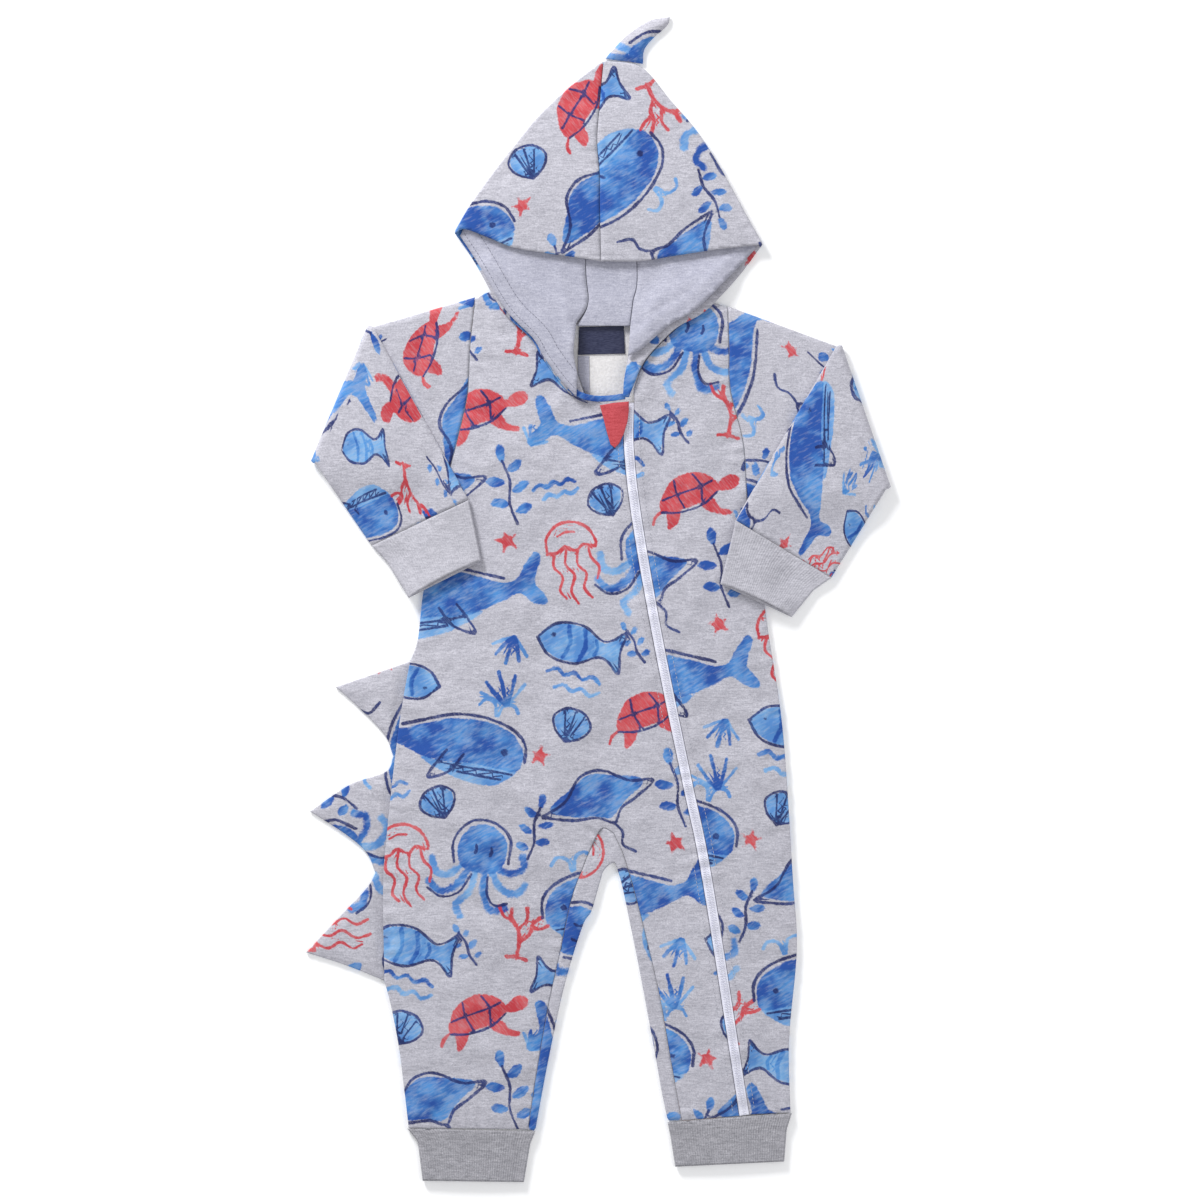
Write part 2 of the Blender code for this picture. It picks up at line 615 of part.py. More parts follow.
def make_sleeve(side, plan):
    """A sleeve bent back at the elbow, so that its forearm lies over the upper arm and the body."""
    across = SLEEVE_ACROSS
    armhole = smooth(plan["armhole"], 1)
    chosen = np.linspace(0, len(armhole) - 1, across).round().astype(int)
    fold = cross_line(*plan["fold"], across)
    out = normals(fold, False)[0]
    out = out * np.sign(np.dot(out, fold[0] - armhole[0]))
    start = armhole[chosen] + GAP * out
    level = 2 * CLOTH + GAP
    axis_height = level + GAP / 2
    zero, top = np.zeros(across), np.full(across, level)
    stations = []
    for share in UPPER_ARM_SHARES:
        line = start + share * (fold - start)
        stations.append(ring_pair(line, zero, top, CLOTH))
    flat = ring_pair(fold, zero, top, CLOTH)
    stations += [turned(flat, out, axis_height, math.radians(a)) for a in ELBOW_ANGLES]
    corners = [(*start[0], level), (*start[-1], level), (*fold[-1], level), (*fold[0], level)]
    trees = list(laid) + [BVHTree.FromPolygons(corners, [(0, 1, 2, 3)])]
    seam = cross_line(*plan["seam"], across)
    width = np.linspace(0, 1, across)
    for share in FOREARM_SHARES:
        line = fold + share * (seam - fold)
        under = rest_on(line, trees, ARM_SPREAD)
        rise = FOREARM_LOFT * np.sin(math.pi * width) * math.sin(math.pi * share)
        stations.append(ring_pair(line, under + level + rise, under, CLOTH))
    tube(f"sleeve_{side}", stations, "print")
    cuff = []
    rows = plan["cuff"]
    away = np.array(rows[-1][0], float) - rows[0][0]
    away = away / np.linalg.norm(away)
    for number, (a, b) in enumerate(rows):
        line = cross_line(a, b, across) + (away * GAP if number == 0 else 0)
        under = rest_on(line, trees, ARM_SPREAD)
        cuff.append(ring_pair(line, under + 2 * RIB + GAP, under, RIB))
    tube(f"sleeve_cuff_{side}", cuff, "rib")


def make_ankle_cuff(side, rows):
    across = ANKLE_ACROSS
    stations = []
    for number, (a, b) in enumerate(rows):
        line = cross_line(a, b, across) - np.array([0, GAP if number == 0 else 0])
        stations.append(ring_pair(line, np.zeros(across), np.full(across, 2 * RIB + GAP), RIB))
    tube(f"ankle_cuff_{side}", stations, "rib")


def make_guard_and_label():
    under = list(laid)
    guard = joined(list(zip(GUARD, GUARD[1:] + GUARD[:1])), TRIM_GRID)
    sheet("zip_guard", guard, lambda p: rest_on(p, under, GUARD_SPREAD), GUARD_THICKNESS, TRIM_GRID, "guard")
    label = np.array(LABEL, float)
    sheet("neck_label", label, lambda p: np.full(len(p), CLOTH + GAP), LABEL_THICKNESS, 0, "label")


def centre_on_origin():
    """Moves the whole garment so that the middle of its underside is the origin."""
    solids = [o for o in bpy.context.scene.objects if o.type == "MESH"]
    points = np.array([v.co[:] for o in solids for v in o.data.vertices])
    low, high = points.min(axis=0), points.max(axis=0)
    shift = Vector((-(low[0] + high[0]) / 2, -(low[1] + high[1]) / 2, -low[2]))
    for solid in solids:
        for vertex in solid.data.vertices:
            vertex.co += shift


def main():
    for thing in list(bpy.data.objects):
        bpy.data.objects.remove(thing, do_unlink=True)
    make_body()
    body = list(laid)
    make_gusset()
    make_fin()
    for side, rows in ANKLE_CUFFS.items():
        make_ankle_cuff(side, rows)
    for side, plan in SLEEVES.items():
        make_sleeve(side, plan)
    make_hood(body)
    make_lining(body)
    make_horn()
    make_guard_and_label()
    centre_on_origin()


main()
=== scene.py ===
"""The hooded pyjamas, laid flat on a pale floor and seen from straight above.

Tables are in millimetres, as in the part: X runs to the viewer's right, Y towards the hood, Z up.
"""

import json
import math

import bmesh
import bpy
import numpy as np
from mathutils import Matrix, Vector
from mathutils.bvhtree import BVHTree
from mathutils.geometry import delaunay_2d_cdt

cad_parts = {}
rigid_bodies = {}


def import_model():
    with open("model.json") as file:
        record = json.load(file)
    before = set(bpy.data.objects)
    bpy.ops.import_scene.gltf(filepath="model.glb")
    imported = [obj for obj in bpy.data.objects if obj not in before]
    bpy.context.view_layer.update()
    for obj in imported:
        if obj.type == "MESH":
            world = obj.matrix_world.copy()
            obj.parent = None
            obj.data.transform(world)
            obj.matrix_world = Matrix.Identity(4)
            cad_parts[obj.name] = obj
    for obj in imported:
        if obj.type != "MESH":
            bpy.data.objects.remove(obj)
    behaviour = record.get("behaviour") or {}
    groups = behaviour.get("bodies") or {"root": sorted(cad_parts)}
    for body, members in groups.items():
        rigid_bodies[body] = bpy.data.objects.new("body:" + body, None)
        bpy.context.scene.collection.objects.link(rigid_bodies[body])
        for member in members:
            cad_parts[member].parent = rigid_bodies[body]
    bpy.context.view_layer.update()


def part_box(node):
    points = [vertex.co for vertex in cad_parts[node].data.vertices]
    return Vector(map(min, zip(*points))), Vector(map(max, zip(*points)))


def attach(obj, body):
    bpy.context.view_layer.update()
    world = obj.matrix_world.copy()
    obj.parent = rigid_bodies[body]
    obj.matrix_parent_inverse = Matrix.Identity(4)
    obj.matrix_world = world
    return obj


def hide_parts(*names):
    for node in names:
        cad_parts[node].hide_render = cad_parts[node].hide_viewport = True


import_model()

MM = 0.001

# Cloth and trim
CLOTH = 2.0
LINING = 1.6
RIB = 2.0
LABEL_THICKNESS = 0.6
GUARD_THICKNESS = 1.2
GAP = 0.3
ZIP_WIDTH = 8.0
ZIP_BAND = 9.5
ZIP_BAND_RISE = 0.6
ZIP_TOOTH = 0.65

# How the laid cloth stands off what is under it
LOFT = 2.6
LOFT_REACH = 32.0
FLAP_LOFT = 2.2
FLAP_REACH = 26.0
LINING_SPREAD = 23.0
FOREARM_LOFT = 1.6
DRAPE_SLOPE = 0.34
DRAPE_REACH = 16.0
DRAPE_STEP = 5.0
DRAPE_TURNS = 12
ARM_SPREAD = 11.0
GUARD_SPREAD = 5.0
ABOVE_ALL = 60.0

# What the camera sees, in metres of the tables
VIEW_SIDE = 0.936
VIEW_MIDDLE = (0.00234, 0.0)
# How strongly the floor glows: painted light that lifts it towards white and lightens the shadows on it.
FLOOR_PAINTED_GLOW = 0.13

# Fin and horn
FIN_ROOT = 5.0
FIN_SHOULDER = 7.0
HORN_EDGE = 1.6
HORN_LOFT = 4.2
HORN_REACH = 8.0

# How finely the cloth is divided
PRINT_GRID = 2.3
PLAIN_GRID = 3.2
CURVE_STEPS = 24
EDGE_STEP = 4.0
SAME_POINT = 0.5

# Edges of the body, each from its upper end to its lower end
SHOULDER_R = [(-95, 235), (-82, 240), (-64, 229)]
BACK_NECK = [(-64, 229), (-41, 221), (-16, 216), (26, 216), (53, 221), (80, 229)]
SHOULDER_L = [(80, 229), (90, 232), (102, 228)]
FRONT_NECK_R = [(-64, 229), (-51, 211), (-32, 183), (-9, 160), (3, 154)]
FRONT_NECK_L = [(29, 155), (29, 166), (38, 187), (55, 206), (70, 219), (80, 229)]
ARMHOLE_R = [(-95, 235), (-99, 199), (-101, 161), (-107, 133), (-115, 101)]
ARMHOLE_L = [(102, 228), (103, 195), (104, 164), (114, 123), (117, 80)]
SIDE_R_UPPER = [(-115, 101), (-122, 62), (-130, 31), (-136, 4), (-140, -31), (-146, -48)]
SIDE_R_FIN = [(-146, -48), (-151, -75), (-156, -109), (-163, -171), (-167, -223), (-166, -297)]
SIDE_R_LOWER = [(-166, -297), (-161, -316), (-155, -347), (-151, -378), (-147, -412)]
SIDE_L = [(117, 80), (125, 43), (133, -20), (145, -101), (153, -218), (156, -273), (150, -343), (151, -400)]
ZIP_LINE = [(25, 154), (25, 118), (31, 64), (48, -33), (70, -140), (86, -218), (115, -402)]

# The strip along the inner legs
GUSSET_SEAM_R = [(-54, -413), (-46, -362), (-38, -317), (-30, -280), (-20, -234), (-11, -209), (-3, -189)]
GUSSET_ARCH = [(-3, -189), (4, -178), (13, -182)]
GUSSET_SEAM_L = [(13, -182), (22, -203), (34, -246), (48, -305), (57, -356), (66, -406)]
INSEAM_R = [(-49, -414), (-39, -360), (-26, -300), (-12, -254), (-5, -242), (2, -218), (5, -210)]
CROTCH = [(5, -210), (13, -204), (17, -211)]
INSEAM_L = [(17, -211), (22, -230), (34, -289), (47, -359), (51, -382), (56, -406)]

# The hood, spread flat with its crown folded over to the front
SLOPE_R = [(-111, 286), (-98, 308), (-81, 332), (-63, 355), (-44, 378), (-18, 402), (5, 420)]
SLOPE_L = [(5, 420), (34, 415), (56, 390), (76, 367), (92, 343), (105, 320), (118, 296), (129, 277)]
FLAP_R = [(-111, 286), (-103, 289), (-86, 283), (-66, 275), (-44, 271), (-16, 267), (3, 264)]
FLAP_L = [(3, 264), (33, 264), (59, 268), (92, 273), (129, 277)]
FLAP_SEAM = [(5, 420), (2, 387), (0, 359), (2, 332), (2, 310), (3, 264)]
HOOD_BACK_SEAM = [(5, 420), (3, 216)]
RIM_R = [(-111, 286), (-96, 264), (-74, 226), (-52, 204), (-44, 191), (-30, 171), (-18, 158), (-7, 153)]
RIM_L = [(129, 277), (112, 254), (92, 232), (80, 222), (65, 214), (54, 205), (37, 186), (29, 168), (25, 158)]
COLLAR_R = [(-7, 153), (-15, 176), (-18, 193), (-16, 216)]
COLLAR_L = [(20, 158), (21, 172), (24, 190), (26, 216)]
LINING_RIM_R = [(-107, 284), (-94, 264), (-72, 227), (-50, 204), (-42, 190), (-28, 171), (-16, 158)]
LINING_RIM_L = [(124, 274), (107, 256), (86.5, 235), (73.5, 224), (57.5, 215), (45.5, 205), (34, 195)]
STRIP_R = [(-9, 380), (-9, 264), (-7, 232), (-16, 216)]
STRIP_L = [(17, 380), (31, 264), (28, 232), (26, 216)]
LINING_MIDDLE_R = [(1, 380), (2, 267)]
LINING_MIDDLE_L = [(3, 380), (4, 267)]
LINING_SHORT = 2.0
LINING_CENTRE = (8.0, 290.0)
STRIP_FOOT = [(-16, 213.6), (26, 213.6)]
STRIP_PLEAT = [(-6, 262), (-5, 229), (6, 229)]

# The fin in the right side seam, as the runs between its points and notches
FIN_RUNS = [
    [(-146, -48), (-204, -68)],
    [(-204, -68), (-187, -83), (-166, -105), (-159, -122)],
    [(-159, -122), (-165, -134), (-193, -144), (-224, -165)],
    [(-224, -165), (-196, -183), (-180, -197), (-173, -213)],
    [(-173, -213), (-180, -225), (-200, -246), (-227, -275)],
    [(-227, -275), (-196, -285), (-166, -297)],
]
HORN_OUTER = [(6, 422), (13, 430), (24, 441), (41, 452), (57, 455)]
HORN_INNER = [(57, 455), (55, 448), (44, 438), (37, 429), (36, 418)]
NECK_BINDING = [(-22, 166), (-12, 159.5), (0, 157), (12, 157.5), (22, 159)]
BINDING_HALF = 2.5
FACING = [(-15, 190.5), (-6, 190.5), (-5.5, 160), (-8, 157), (-15, 176)]
GUARD = [(2, 152), (13, 154), (25, 155), (25, 147), (24, 139), (21, 129.5), (17.5, 122), (14, 118.5)]
GUARD += [(10.5, 121), (7.5, 131), (4.5, 143)]
LABEL = [(-14, 213), (21, 214), (22, 192), (-15, 191)]

SLEEVES = {
    "right": {
        "armhole": ARMHOLE_R,
        "fold": [(-175, 212), (-219, 107)],
        "seam": [(-101, 78), (-175, 43)],
        "cuff": [[(-101, 78), (-175, 43)], [(-98, 64), (-163, 30)], [(-91, 30), (-146, 2)]],
        "crease": [(-124, 214), (-131, 190), (-132, 162)],
    },
    "left": {
        "armhole": ARMHOLE_L,
        "fold": [(187, 197), (225, 87)],
        "seam": [(109, 62), (182, 18)],
        "cuff": [[(109, 62), (182, 18)], [(106, 48), (168, 8)], [(97, 12), (151, -13)]],
        "crease": [(144, 196), (149, 172), (148, 146)],
    },
}
ANKLE_CUFFS = {
    "right": [[(-147, -412), (-49, -414)], [(-139, -422), (-53, -424)], [(-135, -453), (-58, -454)]],
    "left": [[(56, -407), (151, -400)], [(58, -417), (147, -413)], [(62, -442), (145, -438)]],
}

# Soft folds in the front: both ends, height over the cloth and half width
FOLDS = [
    {"start": (32, 10), "end": (45, -92), "height": 1.5, "width": 6},
    {"start": (-8, -176), "end": (-84, -142), "height": 1.4, "width": 9},
    {"start": (-14, -200), "end": (-72, -214), "height": 1.0, "width": 8},
    {"start": (16, -172), "end": (60, -176), "height": 1.1, "width": 9},
    {"start": (-30, 150), "end": (-84, 106), "height": 1.3, "width": 10},
    {"start": (-128, -250), "end": (-60, -262), "height": 1.1, "width": 10},
    {"start": (-140, -330), "end": (-84, -352), "height": 1.0, "width": 9},
    {"start": (136, -236), "end": (98, -262), "height": 1.0, "width": 9},
    {"start": (64, -330), "end": (96, -356), "height": 0.9, "width": 8},
    {"start": (-112, 20), "end": (-60, -14), "height": 1.2, "width": 11},
    {"start": (-104, 62), "end": (-66, 58), "height": 1.0, "width": 9},
    {"start": (112, 30), "end": (76, 2), "height": 1.1, "width": 9},
]

laid = {}


# Lines and outlines


def smooth(points, step):
    """A curve through the points, read about every step millimetres, both ends included."""
    p = np.array(points, float)
    if len(p) == 2:
        dense = p[0] + np.linspace(0, 1, 2 * CURVE_STEPS + 1)[:, None] * (p[1] - p[0])
    else:
        ends = np.vstack([2 * p[0] - p[1], p, 2 * p[-1] - p[-2]])
        t = np.linspace(0, 1, CURVE_STEPS, endpoint=False)[:, None]
        runs = []
        for a, b, c, d in zip(ends, ends[1:], ends[2:], ends[3:]):
            runs.append(
                b
                + 0.5 * t * (c - a)
                + t**2 * (a - 2.5 * b + 2 * c - 0.5 * d)
                + t**3 * (1.5 * b - 1.5 * c + 0.5 * (d - a))
            )
        dense = np.vstack(runs + [p[-1:]])
    return spaced(dense, step)


def spaced(dense, step):
    along = np.concatenate([[0], np.cumsum(np.linalg.norm(np.diff(dense, axis=0), axis=1))])
    places = np.linspace(0, along[-1], max(2, round(along[-1] / step) + 1))
    return np.column_stack([np.interp(places, along, dense[:, k]) for k in range(dense.shape[1])])


def ring_through(points, step):
    """A smooth closed curve through the points."""
    p = np.array(points, float)
    loop = smooth(np.vstack([p[-2:], p, p[:2]]), step / 2)
    start = np.argmin(np.linalg.norm(loop - p[0], axis=1)[: len(loop) // 2])
    end = len(loop) // 2 + np.argmin(np.linalg.norm(loop - p[0], axis=1)[len(loop) // 2 :])
    return spaced(loop[start : end + 1], step)[:-1]


def back_along(points):
    return points[::-1]


def joined(runs, step):
    """One closed outline from runs that follow each other, each smoothed on its own."""
    rows = []
    for run in runs:
        for point in smooth(run, step):
            if not rows or np.linalg.norm(point - rows[-1]) > SAME_POINT:
                rows.append(point)
    if np.linalg.norm(rows[0] - rows[-1]) < SAME_POINT:
        rows.pop()
    return np.array(rows)


def normals(line, closed):
    """The unit normal on the left of a line at each of its points."""
    before, after = np.roll(line, 1, axis=0), np.roll(line, -1, axis=0)
    if not closed:
        before[0], after[-1] = line[0], line[-1]
    along = after - before
    along /= np.maximum(np.linalg.norm(along, axis=1), 1e-9)[:, None]
    return np.column_stack([-along[:, 1], along[:, 0]])


def area(outline):
    x, y = outline.T
    return 0.5 * float(np.sum(x * np.roll(y, -1) - y * np.roll(x, -1)))


def inset(outline, amount):
    return outline + normals(outline, True) * amount * (1 if area(outline) > 0 else -1)


def beside(points, amount):
    """The same line moved to its left by amount."""
    line = smooth(points, EDGE_STEP)
    return line + normals(line, False) * amount


def within(outline, points):
    inside = np.zeros(len(points), bool)
    a, b = outline, np.roll(outline, -1, axis=0)
    rise = np.where(np.abs(b[:, 1] - a[:, 1]) < 1e-12, 1e-12, b[:, 1] - a[:, 1])
    for part in blocks(len(points)):
        x, y = points[part, :1], points[part, 1:2]
        spans = (a[:, 1] > y) != (b[:, 1] > y)
        crossing = a[:, 0] + (y - a[:, 1]) * (b[:, 0] - a[:, 0]) / rise
        inside[part] = (spans & (x < crossing)).sum(axis=1) % 2 == 1
    return inside


def blocks(count, size=4000):
    return [slice(k, min(k + size, count)) for k in range(0, count, size)]


def along_line(line, points, closed=True):
    """How far each point lies from a line, and how far along it the nearest place is."""
    a = line if closed else line[:-1]
    b = np.roll(line, -1, axis=0) if closed else line[1:]
    run = b - a
    length = np.linalg.norm(run, axis=1)
    starts = np.concatenate([[0], np.cumsum(length)[:-1]])
    away, place = np.zeros(len(points)), np.zeros(len(points))
    for part in blocks(len(points)):
        to = points[part, None, :] - a[None]
        t = np.clip((to * run).sum(-1) / np.maximum(length**2, 1e-12), 0, 1)
        off = np.linalg.norm(to - t[..., None] * run, axis=-1)
        best = off.argmin(axis=1)
        rows = np.arange(len(best))
        away[part] = off[rows, best]
        place[part] = starts[best] + t[rows, best] * length[best]
    return away, place


def distance(line, points, closed=True):
    return along_line(line, points, closed)[0]


def ease(t):
    t = np.clip(t, 0, 1)
    return t * t * (3 - 2 * t)


def ripple(points, size, seed, turns=9):
    """A smooth random field between about -1 and 1, with bumps about size millimetres apart."""
    draws = np.random.default_rng(seed)
    field = np.zeros(len(points))
    for _ in range(turns):
        angle, phase = draws.uniform(0, 2 * math.pi, 2)
        rate = 2 * math.pi / (size * draws.uniform(0.7, 1.6))
        way = np.array([math.cos(angle), math.sin(angle)])
        field += np.sin(points[:, :2] @ way * rate + phase)
    return field / math.sqrt(turns / 2) / 1.6


def puckers(points, line, reach, pitch, height, seed, closed=False):
    """Little gathers across a seam, highest at the seam and dying away from it."""
    away, place = along_line(np.asarray(line, float), points, closed)
    here = np.column_stack([place, np.zeros(len(place))])
    shift = ripple(here, pitch * 3.1, seed) * 2.2
    size = 0.55 + 0.45 * ripple(here, pitch * 2.3, seed + 1)
    wave = 0.5 + 0.5 * np.sin(2 * math.pi * place / pitch + shift)
    return height * np.clip(size, 0, 1) * wave * np.exp(-((away / reach) ** 2))


# The print

INKS = ("light", "blue", "red", "navy")
CELL = (262.0, 236.0)
INK_REACH = 7.0

# Each drawing: the ink, whether a shape is filled or a stroke, its points and the stroke's width
DRAWINGS = {
    "whale": [
        ("blue", "fill", [(-58, 2), (-55, 14), (-43, 24), (-22, 28), (2, 25), (24, 16), (42, 7),
                          (54, 7), (62, 16),
                          (72, 25), (76, 20), (70, 8), (68, 0), (74, -10), (73, -17), (63, -13), (54, -4),
                          (40, -7), (22, -11), (4, -12), (-16, -8), (-38, -7), (-55, -6)], 0),
        ("light", "fill", [(-56, -5), (-38, -6), (-16, -7), (4, -11), (24, -11), (10, -18),
                           (-18, -23), (-41, -20)], 0),
        ("navy", "line", [(-60, 3), (-57, 17), (-44, 27), (-21, 31), (4, 28), (27, 18), (44, 10)], 2.4),
        ("navy", "line", [(-52, -9), (-34, -10), (-12, -12), (10, -13)], 1.9),
        ("navy", "line", [(-44, -15), (-28, -16), (-8, -17)], 1.9),
        ("navy", "line", [(-10, -2), (-2, -18), (14, -27), (9, -12), (4, -2)], 2.2),
        ("navy", "fill", [(-45, 7), (-42, 10), (-39, 7), (-42, 4)], 0),
        ("light", "line", [(-30, 34), (-32, 43), (-40, 46), (-45, 41)], 2.6),
        ("light", "line", [(-28, 34), (-25, 44), (-17, 46), (-13, 40)], 2.6),
    ],
    "turtle": [
        ("red", "fill", [(-27, -2), (-24, 12), (-10, 22), (9, 22), (23, 12), (29, -1), (14, -6),
                         (-8, -7)], 0),
        ("red", "fill", [(-24, 1), (-33, 6), (-42, 7), (-48, 1), (-43, -5), (-32, -5)], 0),
        ("red", "fill", [(-18, -6), (-22, -17), (-31, -24), (-26, -26), (-13, -18), (-6, -7)], 0),
        ("red", "fill", [(12, -6), (19, -16), (29, -19), (27, -12), (24, -4)], 0),
        ("red", "line", [(28, -1), (36, -4), (40, -9)], 2.6),
        ("navy", "line", [(-25, -3), (-8, -9), (13, -8), (29, -2)], 1.9),
        ("navy", "line", [(-10, 20), (-13, 8), (-9, -6)], 1.7),
        ("navy", "line", [(8, 21), (10, 8), (8, -6)], 1.7),
        ("navy", "line", [(-24, 8), (-11, 7), (9, 8), (24, 8)], 1.7),
    ],
    "fish": [
        ("light", "fill", [(-29, 0), (-17, 12), (2, 14), (18, 6), (25, 8), (34, 15), (33, 0),
                           (34, -15), (25, -7),
                           (18, -5), (2, -13), (-17, -11)], 0),
        ("navy", "line", [(-29, 1), (-17, 13), (2, 15), (18, 7), (26, 9), (35, 16), (33, 1),
                          (35, -15), (26, -8),
                          (17, -6), (1, -14), (-18, -12), (-30, 0)], 2.0),
        ("blue", "line", [(-8, 12), (-5, 0), (-8, -11)], 3.2),
        ("blue", "line", [(4, 12), (7, 0), (4, -11)], 3.2),
        ("blue", "line", [(14, 6), (16, 0), (14, -5)], 2.6),
        ("navy", "fill", [(-20, 4), (-18, 6), (-16, 4), (-18, 2)], 0),
    ],
    "jellyfish": [
        ("red", "line", [(-22, 0), (-21, 14), (-10, 25), (6, 26), (19, 17), (23, 2), (12, 5), (4, 0), (-5, 5),
                         (-13, 0), (-22, 1)], 2.3),
        ("red", "line", [(-15, 0), (-18, -12), (-11, -22), (-15, -34), (-10, -42)], 2.1),
        ("red", "line", [(-4, 3), (-7, -11), (0, -22), (-5, -36), (0, -48)], 2.1),
        ("red", "line", [(6, 1), (4, -12), (11, -22), (7, -34), (13, -44)], 2.1),
        ("red", "line", [(16, 3), (17, -8), (23, -17), (20, -28)], 2.1),
        ("red", "line", [(-11, 15), (-3, 18), (5, 17)], 1.9),
    ],
    "ray": [
        ("navy", "line", [(-40, 4), (-22, 8), (-8, 20), (2, 22), (12, 19), (26, 7), (42, 2), (27, -5),
                          (14, -9),
                          (6, -17), (-4, -10), (-20, -6), (-40, 3)], 2.2),
        ("navy", "line", [(5, -16), (9, -25), (6, -33), (13, -41)], 2.1),
        ("blue", "fill", [(-34, 6), (-16, 15), (0, 20), (15, 15), (35, 4), (18, -5), (5, -13),
                          (-7, -8), (-19, -4)], 0),
    ],
    "octopus": [
        ("blue", "fill", [(-17, 6), (-20, 22), (-12, 36), (3, 39), (16, 30), (18, 12), (10, 2), (-8, 1)], 0),
        ("light", "line", [(-14, 5), (-24, -4), (-34, -3), (-38, 7)], 5.5),
        ("blue", "line", [(-9, 3), (-16, -12), (-28, -18), (-37, -12)], 6.0),
        ("light", "line", [(-3, 3), (-5, -14), (-14, -26), (-9, -34)], 5.5),
        ("blue", "line", [(4, 3), (6, -14), (14, -26), (24, -23)], 6.0),
        ("light", "line", [(9, 4), (18, -8), (31, -10), (37, -2)], 5.5),
        ("blue", "line", [(13, 7), (24, 5), (33, 10), (31, 19)], 5.5),
        ("navy", "line", [(-21, 6), (-24, 23), (-14, 39), (3, 42), (19, 32), (21, 12)], 2.3),
        ("navy", "line", [(-6, -1), (-13, -16), (-26, -22), (-38, -17)], 2.0),
        ("navy", "line", [(7, -1), (9, -15), (16, -22), (25, -19)], 2.0),
        ("navy", "line", [(-6, 16), (-5, 19), (-6, 22)], 2.4),
        ("navy", "line", [(6, 16), (7, 19), (6, 22)], 2.4),
    ],
    "star": [
        ("red", "fill", [(0, 17), (4, 6), (16, 6), (7, -1), (11, -14), (0, -6), (-10, -14), (-7, -1),
                         (-16, 6),
                         (-4, 6)], 0),
    ],
    "weed": [
        ("navy", "line", [(0, -24), (-2, -8), (2, 8), (0, 24)], 2.2),
        ("blue", "fill", [(1, 16), (8, 22), (15, 21), (9, 14)], 0),
        ("blue", "fill", [(-1, 8), (-9, 14), (-16, 12), (-9, 6)], 0),
        ("blue", "fill", [(1, 0), (9, 6), (16, 4), (9, -2)], 0),
        ("blue", "fill", [(-2, -8), (-10, -2), (-16, -5), (-9, -10)], 0),
        ("blue", "fill", [(0, -15), (8, -10), (14, -13), (8, -18)], 0),
        ("blue", "fill", [(0, 22), (4, 32), (0, 37), (-4, 31)], 0),
    ],
    "coral": [
        ("red", "line", [(0, -18), (1, -4), (-2, 8), (-9, 18), (-10, 26)], 3.2),
        ("red", "line", [(1, -4), (9, 5), (11, 15), (18, 22)], 3.0),
        ("red", "line", [(-2, 8), (5, 18), (4, 28)], 2.8),
        ("red", "line", [(-8, 15), (-17, 19), (-22, 27)], 2.6),
        ("red", "line", [(10, 11), (18, 11), (25, 15)], 2.6),
        ("red", "line", [(-9, -18), (0, -17), (10, -19)], 2.6),
    ],
    "waves": [
        ("blue", "line", [(-24, 7), (-17, 11), (-10, 7), (-3, 11), (4, 7), (11, 11), (18, 7)], 3.0),
        ("light", "line", [(-16, -4), (-9, 0), (-2, -4), (5, 0), (12, -4), (19, 0)], 3.0),
    ],
    "tuft": [
        ("blue", "line", [(-12, 8), (-6, -4), (-1, -12)], 3.0),
        ("blue", "line", [(-1, 14), (0, 0), (0, -12)], 3.0),
        ("blue", "line", [(11, 9), (6, -3), (1, -12)], 3.0),
        ("light", "line", [(-18, 1), (-9, -6), (-1, -12)], 2.6),
        ("light", "line", [(17, 1), (9, -6), (1, -12)], 2.6),
    ],
    "shell": [
        ("light", "fill", [(0, -11), (10, -5), (15, 5), (9, 13), (0, 15), (-9, 13), (-15, 5), (-10, -5)], 0),
        ("navy", "line", [(0, -12), (11, -5), (16, 5), (9, 14), (0, 16), (-9, 14), (-16, 5),
                          (-11, -5), (0, -12)], 1.9),
        ("navy", "line", [(0, -11), (0, 14)], 1.6),
        ("navy", "line", [(-1, -11), (-8, 11)], 1.6),
        ("navy", "line", [(1, -11), (8, 11)], 1.6),
    ],
}

# Where the drawings stand in the repeat: name, place, turn in degrees, size and whether mirrored
LAYOUT = [
    ("whale", 62, 46, 12, 1.0, False),
    ("fish", 160, 13, -12, 1.05, False),
    ("octopus", 215, 70, -10, 1.0, False),
    ("jellyfish", 156, 86, 8, 0.86, False),
    ("ray", 46, 126, 20, 1.12, False),
    ("whale", 194, 168, -14, 0.96, True),
    ("turtle", 84, 192, 22, 0.86, True),
    ("weed", 108, 132, 14, 1.05, False),
    ("weed", 258, 102, -14, 0.85, True),
    ("coral", 246, 20, -8, 0.85, False),
    ("shell", 184, 124, 24, 0.9, False),
    ("shell", 24, 184, -20, 0.95, False),
    ("star", 106, 94, 16, 0.6, False),
    ("waves", 146, 132, 12, 0.8, False),
    ("waves", 28, 216, -14, 1.0, False),
    ("tuft", 234, 214, 10, 1.0, False),
    ("tuft", 108, 10, 160, 0.8, False),
    ("fish", 158, 222, 168, 0.9, False),
    ("weed", 206, 12, 30, 0.6, False),
    ("star", 262, 162, -12, 0.55, False),
    ("tuft", 128, 176, -30, 0.6, False),
]


def ready_drawings():
    ready = {}
    for name, shapes in DRAWINGS.items():
        rows = []
        for ink, kind, points, width in shapes:
            line = ring_through(points, 2.0) if kind == "fill" else smooth(points, 2.0)
            rows.append((INKS.index(ink), kind, line, width))
        reach = max(np.linalg.norm(line, axis=1).max() for _, _, line, _ in rows)
        ready[name] = (rows, reach)
    return ready


READY = ready_drawings()


